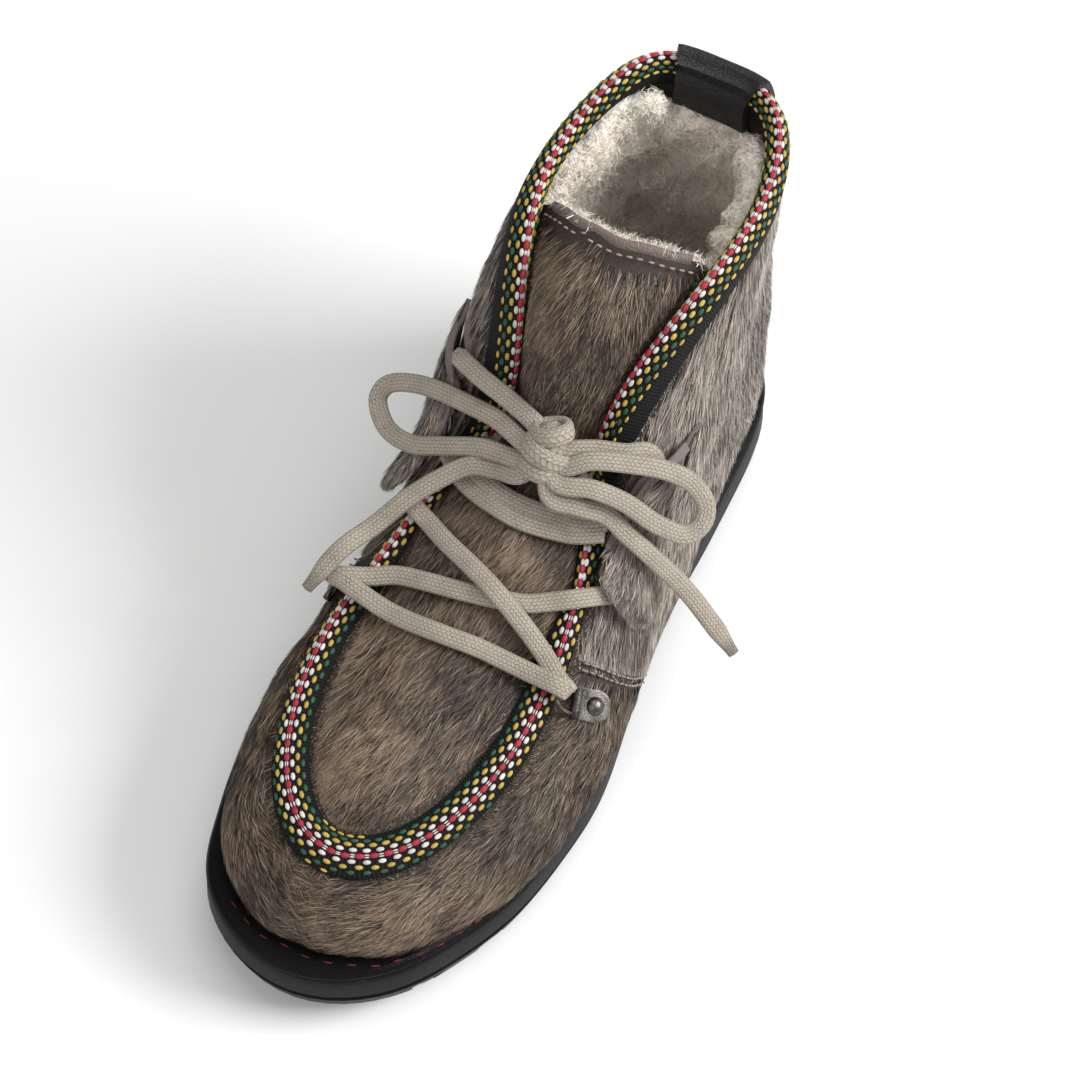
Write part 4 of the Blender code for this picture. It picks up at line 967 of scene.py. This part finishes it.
# Painted shade: the tongue's coat is set darker (tone -0.30) for the shade that falls on it.
grow_hair("hair_tongue", tongue_form, lambda form: hairy & (to_top > BINDING_STITCH_DROP + 0.001),
          tongue_flow, coat, 20000, 0.0090, 21, tone=-0.30)
to_front = tongue_form.facing @ TONGUE_FRONT
to_rise = tongue_form.facing @ TONGUE_RISE_WAY
behind_top = (tongue_form.middle - tongue_top.mean(0)) @ TONGUE_FRONT < 0.001
woolly = (to_front < -0.3) | ((to_rise > 0.6) & (to_front < 0.3) & behind_top)
grow_hair("wool_tongue", tongue_form,
          lambda form: woolly & (form.middle[:, 2] > 0.14) & (to_top > 0.0022),
          lambda places, normals: TONGUE_RISE_WAY - 0.5 * TONGUE_FRONT + 1.2 * np.stack(
              [waves(places, 0.004, s) for s in (31, 32, 33)], 1),
          wool_strands, 8000, 0.0045, 22, spread=1.1, lift=0.0034, width=0.00027,
          curl=1.2, segments=3)
binding_line = tongue_top - TONGUE_RISE_WAY * 0.0002 - TONGUE_FRONT * 0.0002
binding_leather = make_leather_finish("mauve_leather", BINDING_COLOUR, 0.6)
_, points, faces, _, _ = lace_tube(binding_line, facing=TONGUE_FRONT, spacing=0.0016,
                                   width=BINDING_WIDTH, thickness=BINDING_THICKNESS)
binding = add_piece("tongue_binding", points, faces, binding_leather)
stitch_line = tongue_top - TONGUE_RISE_WAY * BINDING_STITCH_DROP
tongue_stitches = add_ovals(
    "tongue_stitches",
    sewn_line(stitch_line, tongue_form, 0.0, BINDING_PITCH, BINDING_STITCH, BINDING_THREAD,
              -STITCH_PROUD),
    thread)

# Wings: a flap of the same hide on each quarter, sewn along its lower edge, with the slit's raw
# suede edge above. The lace comes up through the slit.
SUEDE = (0.22, 0.175, 0.175)
SLIT_GAP = 0.0050
WING_OUT = {"lateral": (0.95, -0.05, 0.30), "medial": (-0.95, -0.05, 0.30)}


def make_suede_finish():
    suede = Finish("raw_suede", Roughness=0.95)
    shade = suede.mix(suede.noise(700, 3.0), tuple(0.6 * c for c in SUEDE), SUEDE)
    return suede.feed(Base_Color=shade, Normal=suede.bump(suede.noise(1600, 3.0), 0.0006))


suede = make_suede_finish()
for side, out in WING_OUT.items():
    wing = soft_copy(f"lace_wing_{side}", f"wing_{side}", 2, 48, hide_skin, suede)
    form = Skin(wing)
    out = unit(np.array(out))
    for polygon in wing.data.polygons:
        polygon.material_index = 0 if np.array(polygon.normal) @ out > 0.45 else 1
    outer = form.facing @ out > 0.45
    lip_line = top_edge(form, outer, 1, np.array((0, 0, 1)), 10)
    far_from_lip = np.linalg.norm(form.middle[:, None] - lip_line[None], axis=2).min(1)
    grow_hair(f"hair_wing_{side}", form,
              lambda form, outer=outer, far=far_from_lip: outer & (far > 0.0022), wing_flow,
              pale_coat, 9000, 0.0085, 25 if side == "lateral" else 26, lift=0.0018)
    lips = []
    for shift, width in ((0.0, 0.0034), (SLIT_GAP, 0.0040)):
        route = lip_line[1:-1] + np.array((0, 0, 1)) * shift
        if shift:
            spots, facing, _ = hide_form.near(route)
            route = spots + facing * 0.0003
        lips.append(lace_tube(route, facing=unit(out + np.array((0, 0, 0.5))), spacing=0.0014,
                              width=width, thickness=0.0014)[1:3])
    points = np.concatenate([lips[0][0], lips[1][0]])
    faces = lips[0][1] + [tuple(len(lips[0][0]) + v for v in face) for face in lips[1][1]]
    lip = add_piece(f"slit_lips_{side}", points, faces, suede)

# Lining: cream shearling all round the inside, its lumps standing into the shaft, with fine
# curled wool along the collar.
FLEECE_LUMPS = 0.0020


def lumpy(skin):
    """Lumps that stand into the shaft, on the faces away from the hide."""
    inner = ease((upper_solid.near(skin.points)[2] - 0.002) / 0.003)
    lumps = waves(skin.points, 0.016, 41) * 0.7 + waves(skin.points, 0.005, 42) * 0.45
    return skin.normals * (inner * FLEECE_LUMPS * lumps)[:, None]


fleece = soft_copy("fleece_lining", "shearling_lining", 2, 60, wool)
shift_points(fleece, lumpy)
fleece_form = Skin(fleece)
shown = (upper_solid.near(fleece_form.middle)[2] > 0.004) * (fleece_form.middle[:, 2] > 0.085)
grow_hair("wool_lining", fleece_form, lambda form: shown * form.middle[:, 2] ** 3,
          lambda places, normals: np.array((0, 0, 0.3)) + np.stack(
              [waves(places, 0.004, s) for s in (43, 44, 45)], 1),
          wool_strands, 24000, 0.0042, 46, spread=1.1, lift=0.0022, width=0.00027,
          curl=1.2, segments=3)

# Braid: a black woven band folded over the collar and throat and laid over a cord round the
# apron, with rows of red, white, yellow and green stitches that follow its crest.
BRAID_STATIONS = 420
BRAID_ACROSS = 12
BRAID_SHEET = 0.0009
BRAID_PITCH = 0.0044
BRAID_BLACK = (0.008, 0.008, 0.009)
YARNS = {
    "red": (0.46, 0.010, 0.040),
    "white": (0.78, 0.75, 0.71),
    "yellow": (0.60, 0.42, 0.055),
    "green": (0.010, 0.090, 0.045),
}
BRAID_ROWS = [
    {"across": 0.0, "phase": 0.0, "yarn": "red", "size": (0.0031, 0.0019, 0.0006)},
    {"across": 0.00035, "phase": 0.5, "yarn": "white", "size": (0.0019, 0.0005, 0.0004)},
    {"across": -0.00035, "phase": 0.5, "yarn": "white", "size": (0.0019, 0.0005, 0.0004)},
    {"across": 0.0017, "phase": 0.5, "yarn": "white", "size": (0.0027, 0.0015, 0.0006)},
    {"across": -0.0017, "phase": 0.5, "yarn": "white", "size": (0.0027, 0.0015, 0.0006)},
    {"across": 0.0034, "phase": 0.0, "yarn": "yellow", "size": (0.0027, 0.0015, 0.0006)},
    {"across": -0.0034, "phase": 0.0, "yarn": "yellow", "size": (0.0027, 0.0015, 0.0006)},
    {"across": 0.0050, "phase": 0.5, "yarn": "green", "size": (0.0027, 0.0015, 0.0005)},
    {"across": -0.0050, "phase": 0.5, "yarn": "green", "size": (0.0027, 0.0015, 0.0005)},
    {"across": 0.0065, "phase": 0.0, "yarn": "yellow", "size": (0.0025, 0.0010, 0.0005)},
    {"across": -0.0065, "phase": 0.0, "yarn": "yellow", "size": (0.0025, 0.0010, 0.0005)},
]
BRAID_EDGE = 0.0008
BRAID_DROP = 0.0125
BRAID_REACH = 0.0165
BRAID_OFF_HIDE = 0.00085
BRAID_TURN = 0.007


def closed_route(route, stations):
    """An even closed curve through the route's points."""
    route = np.array(route)
    slope = (np.roll(route, -1, 0) - np.roll(route, 1, 0)) / 2
    along = np.arange(len(route) * 20) / 20
    low = along.astype(int)
    high = (low + 1) % len(route)
    t = (along - low)[:, None]
    fine = between_points(route, slope, low, high, t)
    fine = np.concatenate([fine, fine[:1]])
    run = np.concatenate([[0], np.cumsum(np.linalg.norm(np.diff(fine, axis=0), axis=1))])
    wanted = np.linspace(0, run[-1], stations, endpoint=False)
    return np.stack([np.interp(wanted, run, fine[:, k]) for k in range(3)], 1), run[-1]


def blur_loop(values, reach):
    kernel = np.hanning(2 * reach + 3)[1:-1]
    kernel = kernel / kernel.sum()
    return sum(w * np.roll(values, k - reach, 0) for k, w in enumerate(kernel))


def braid_grid():
    """The braid's top, cut square to its crest: points by station and by step across."""
    crest, total = closed_route(BRAID_CREST, BRAID_STATIONS)
    tangent = unit(np.roll(crest, -1, 0) - np.roll(crest, 1, 0))
    spots, _, _ = upper_solid.near(crest)
    up = crest - spots
    up = unit(blur_loop(unit(up - tangent * (up * tangent).sum(1)[:, None]), 6))
    up = unit(up - tangent * (up * tangent).sum(1)[:, None])
    out = np.cross(up, tangent)
    edges = np.concatenate([braid_solid.triangles[:, [0, 1]], braid_solid.triangles[:, [1, 2]],
                            braid_solid.triangles[:, [2, 0]]])
    start, end = braid_solid.points[edges[:, 0]], braid_solid.points[edges[:, 1]]
    inner, outer = [], []
    for place, way, rise, side in zip(crest, tangent, up, out):
        near = np.linalg.norm(start - place, axis=1) < 0.030
        one, two = (start[near] - place) @ way, (end[near] - place) @ way
        cut = (one < 0) != (two < 0)
        share = (one[cut] / (one[cut] - two[cut]))[:, None]
        section = start[near][cut] * (1 - share) + end[near][cut] * share
        section = section[np.linalg.norm(section - place, axis=1) < BRAID_REACH]
        section = section[upper_solid.near(section)[2] > BRAID_OFF_HIDE]
        flat = np.stack([(section - place) @ side, (section - place) @ rise], 1)
        flat = flat[np.argsort(np.arctan2(flat[:, 0], flat[:, 1] + BRAID_TURN))]
        run = np.concatenate([[0], np.cumsum(np.linalg.norm(np.diff(flat, axis=0), axis=1))])
        zero = run[np.argmin(np.linalg.norm(flat, axis=1))]
        inner.append((zero, run, flat))
        outer.append(run[-1] - zero)
    long_in = blur_loop(np.array([z for z, _, _ in inner])[:, None], 8)[:, 0]
    long_out = np.minimum(np.array(outer), BRAID_DROP)
    long_out = blur_loop(long_out[:, None], 14)[:, 0]
    shares = np.linspace(-1, 1, 2 * BRAID_ACROSS + 1)
    across = np.where(shares < 0, shares * long_in[:, None], shares * long_out[:, None])
    flat = np.empty((BRAID_STATIONS, len(shares), 2))
    for i, (zero, run, section) in enumerate(inner):
        for k in range(2):
            flat[i, :, k] = np.interp(across[i] + zero, run, section[:, k])
    flat = blur_loop(flat, 3)
    for _ in range(2):
        flat[:, 1:-1] = (flat[:, :-2] + 2 * flat[:, 1:-1] + flat[:, 2:]) / 4
    grid = crest[:, None] + flat[..., :1] * out[:, None] + flat[..., 1:] * up[:, None]
    return grid, across, total


def make_braid_finish():
    band = Finish("woven_band", Roughness=0.85, Specular_IOR_Level=0.2)
    weave = band.node("ShaderNodeUVMap", {"uv_map": "weave"})
    along, across = band.part(weave, 0), band.part(weave, 1)
    rib = (along * (math.pi / 0.00062)).math("SINE")
    weft = (across * (math.pi / 0.0005)).math("SINE")
    height = rib * weft * 0.5 + rib * 0.4
    # Painted highlight and painted shade: the black band is lighter on the raised ribs and darker
    # in the grooves between them.
    shade = band.mix(band.between(height, -0.4, 0.8), tuple(0.4 * c for c in BRAID_BLACK),
                     tuple(2.2 * c for c in BRAID_BLACK))
    return band.feed(Base_Color=shade, Normal=band.bump(height, 0.00025))


def make_yarn_finish():
    yarn = Finish("braid_yarn", Roughness=0.55)
    colour = yarn.attribute("yarn", out="Color")
    body = yarn.mix(yarn.noise(2200, 2.0), colour, (0.62, 0.62, 0.62), how="MULTIPLY")
    return yarn.feed(Base_Color=body, Normal=yarn.bump(yarn.noise(2600, 2.0), 0.0002))


def add_braid():
    grid, across, total = braid_grid()
    stations, steps = grid.shape[:2]
    normal = np.cross(np.roll(grid, -1, 0) - np.roll(grid, 1, 0), np.gradient(grid, axis=1))
    normal = unit(normal)
    ring = np.concatenate([grid + normal * 0.0001, (grid - normal * BRAID_SHEET)[:, ::-1]], 1)
    wide = 2 * steps
    faces, corners = [], []
    marks = np.concatenate([across, across[:, ::-1]], 1)
    for i in range(stations):
        j = (i + 1) % stations
        u, v = total * i / stations, total * (i + 1) / stations
        for k in range(wide):
            m = (k + 1) % wide
            faces.append((i * wide + k, j * wide + k, j * wide + m, i * wide + m))
            corners += [(u, marks[i, k]), (v, marks[j, k]), (v, marks[j, m]), (u, marks[i, m])]
    band = add_piece("braid_band", ring.reshape(-1, 3), faces, make_braid_finish())
    layer = band.data.uv_layers.new(name="weave")
    layer.data.foreach_set("uv", np.array(corners, np.float32).ravel())
    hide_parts("braid")
    repeats = round(total / BRAID_PITCH)
    rng = np.random.default_rng(51)
    spots = []
    for row in BRAID_ROWS:
        for k in range(repeats):
            at = (k + row["phase"]) / repeats * stations
            low, share = int(at) % stations, at % 1
            high = (low + 1) % stations
            line = grid[low] * (1 - share) + grid[high] * share
            marks = across[low] * (1 - share) + across[high] * share
            wanted = row["across"] + rng.normal() * 0.00005
            if not marks[0] + BRAID_EDGE < wanted < marks[-1] - BRAID_EDGE:
                continue
            place = np.array([np.interp(wanted, marks, line[:, c]) for c in range(3)])
            beside = np.array([np.interp(wanted + 0.0004, marks, line[:, c]) for c in range(3)])
            way = unit(grid[high] - grid[low])
            along = np.array([np.interp(wanted, marks, way[:, c]) for c in range(3)])
            side = unit(beside - place)
            out = unit(np.cross(along, side))
            side = np.cross(out, along)
            colour = tuple(np.array(YARNS[row["yarn"]]) * rng.uniform(0.8, 1.05))
            spots.append((place + out * 0.0001, along, side, row["size"], colour))
    stitches = add_ovals("braid_yarns", spots, make_yarn_finish())
    return band


braid = add_braid()

# Pull tab: a strap of black leather over the braid at the heel, sewn down at both ends.
TAB_BLACK = (0.009, 0.009, 0.010)
tab_leather = make_leather_finish("black_leather", TAB_BLACK, 0.5, 1100.0)
pull_tab = soft_copy("pull_tab", "leather_tab", 2, 50, tab_leather)

# Hooks: a pressed gunmetal plate with a rounded end, riveted to the vamp, whose rolled end
# holds a wire loop for the lace.
STEEL = (0.15, 0.14, 0.13)
STEEL_DARK = (0.045, 0.040, 0.036)


def make_steel_finish():
    steel = Finish("gunmetal", Metallic=1.0)
    worn = steel.noise(180, 4.0)
    shade = steel.mix(steel.between(worn, 0.35, 0.65), STEEL_DARK, STEEL)
    rough = steel.node("ShaderNodeMapRange", {}, steel.noise(900, 3.0), 0.3, 0.7, 0.24, 0.42)
    return steel.feed(Base_Color=shade, Roughness=rough,
                      Normal=steel.bump(steel.noise(2500, 2.0), 0.00008))


gunmetal = make_steel_finish()
for side in ("lateral", "medial"):
    hook = soft_copy(f"lace_hook_{side}", f"hook_{side}", 1, 40, gunmetal)

# Insole: the shearling footbed's board, seen only deep in the shaft.
insole = soft_copy("insole", "footbed", 0, 40, wool)

# Welt: a black rubber strip between upper and sole, with a raised bead, sewn round the toe with
# red thread.
RUBBER = (0.0032, 0.0030, 0.0034)
RUBBER_WORN = (0.013, 0.013, 0.015)
WELT_THREAD = (0.20, 0.010, 0.026)
WELT_CENTRE = (-0.0045, -0.160)
WELT_SEWN = (-16, 84)
WELT_SEAM_OUT = 0.0028
WELT_PITCH = 0.0072
WELT_STITCH = (0.0031, 0.00055, 0.0003)


def make_rubber_finish(name, roughness):
    rubber = Finish(name, Roughness=roughness, Specular_IOR_Level=0.10)
    scuff = rubber.between(rubber.noise(70, 5.0), 0.50, 0.68)
    rub = rubber.between(rubber.noise(600, 3.0), 0.45, 0.7)
    shade = rubber.mix(scuff * rub * 0.8, RUBBER, RUBBER_WORN)
    grain = rubber.noise(1500, 3.0)
    return rubber.feed(Base_Color=shade, Normal=rubber.bump(grain, 0.00018))


welt = soft_copy("welt", "rubber_welt", 2, 35, make_rubber_finish("welt_rubber", 0.38))
welt_form = Skin(welt)


def welt_route():
    """A line on the welt's top, just outside the upper, round the toe."""
    line = []
    for degrees in np.arange(*WELT_SEWN, 4.0):
        angle = math.radians(degrees)
        way = np.array((math.sin(angle), -math.cos(angle), 0))
        for reach in np.arange(0.030, 0.120, 0.0006):
            place = np.array((*WELT_CENTRE, 0.12)) + way * reach
            rubber = welt_form.tree.ray_cast(place, (0, 0, -1))[0]
            hidden = hide_form.tree.ray_cast(place, (0, 0, -1))[0]
            if rubber and (not hidden or rubber.z > hidden.z):
                line.append(np.array(rubber) + way * WELT_SEAM_OUT)
                break
    return np.array(line)


welt_stitches = add_ovals(
    "welt_stitches",
    sewn_line(welt_route(), welt_form, 0.0, WELT_PITCH, WELT_STITCH, WELT_THREAD, -0.0002,
              (0, 0, 1)),
    thread)

# Outsole: black rubber, thicker under the heel, its side stepped and its edge notched by the
# tread's grooves.
outsole = soft_copy("outsole", "rubber_outsole", 1, 30, make_rubber_finish("sole_rubber", 0.45))

# Studio: a plain pale floor and a dim white room, with the brightest soft lamp behind the boot
# on its outer side, as in the photograph.
FLOOR_SIZE = 6.0
FLOOR_PALE = (0.88, 0.88, 0.88)
ROOM_LIGHT = 0.42
LAMPS = [
    {"name": "key", "place": (1.05, 0.30, 1.00), "size": 0.7, "power": 22.0},
    {"name": "front", "place": (0.2, -1.4, 1.1), "size": 1.2, "power": 7.0},
    {"name": "top", "place": (0.1, 0.1, 1.7), "size": 0.9, "power": 8.0},
]


def make_studio():
    half = FLOOR_SIZE / 2
    corners = [(-half, -half, 0), (half, -half, 0), (half, half, 0), (-half, half, 0)]
    paper = Finish("floor_paper", Roughness=0.9)
    shade = tuple(0.985 * c for c in FLOOR_PALE)
    mesh = bpy.data.meshes.new("floor")
    mesh.from_pydata(corners, [], [(0, 1, 2, 3)])
    mesh.materials.append(paper.feed(Base_Color=paper.mix(paper.noise(0.8), FLOOR_PALE, shade)))
    floor = bpy.data.objects.new("floor", mesh)
    bpy.context.scene.collection.objects.link(floor)
    world = bpy.data.worlds.new("room")
    world.use_nodes = True
    world.node_tree.nodes["Background"].inputs[0].default_value = (1.0, 0.99, 0.98, 1.0)
    world.node_tree.nodes["Background"].inputs[1].default_value = ROOM_LIGHT
    bpy.context.scene.world = world
    for lamp in LAMPS:
        light = bpy.data.lights.new(lamp["name"], "AREA")
        light.size = lamp["size"]
        light.energy = lamp["power"]
        holder = bpy.data.objects.new(lamp["name"], light)
        holder.location = lamp["place"]
        aim = CAMERA_AIM - holder.location
        holder.rotation_euler = aim.to_track_quat("-Z", "Y").to_euler()
        bpy.context.scene.collection.objects.link(holder)
    bpy.context.scene.view_settings.view_transform = "Standard"


make_studio()
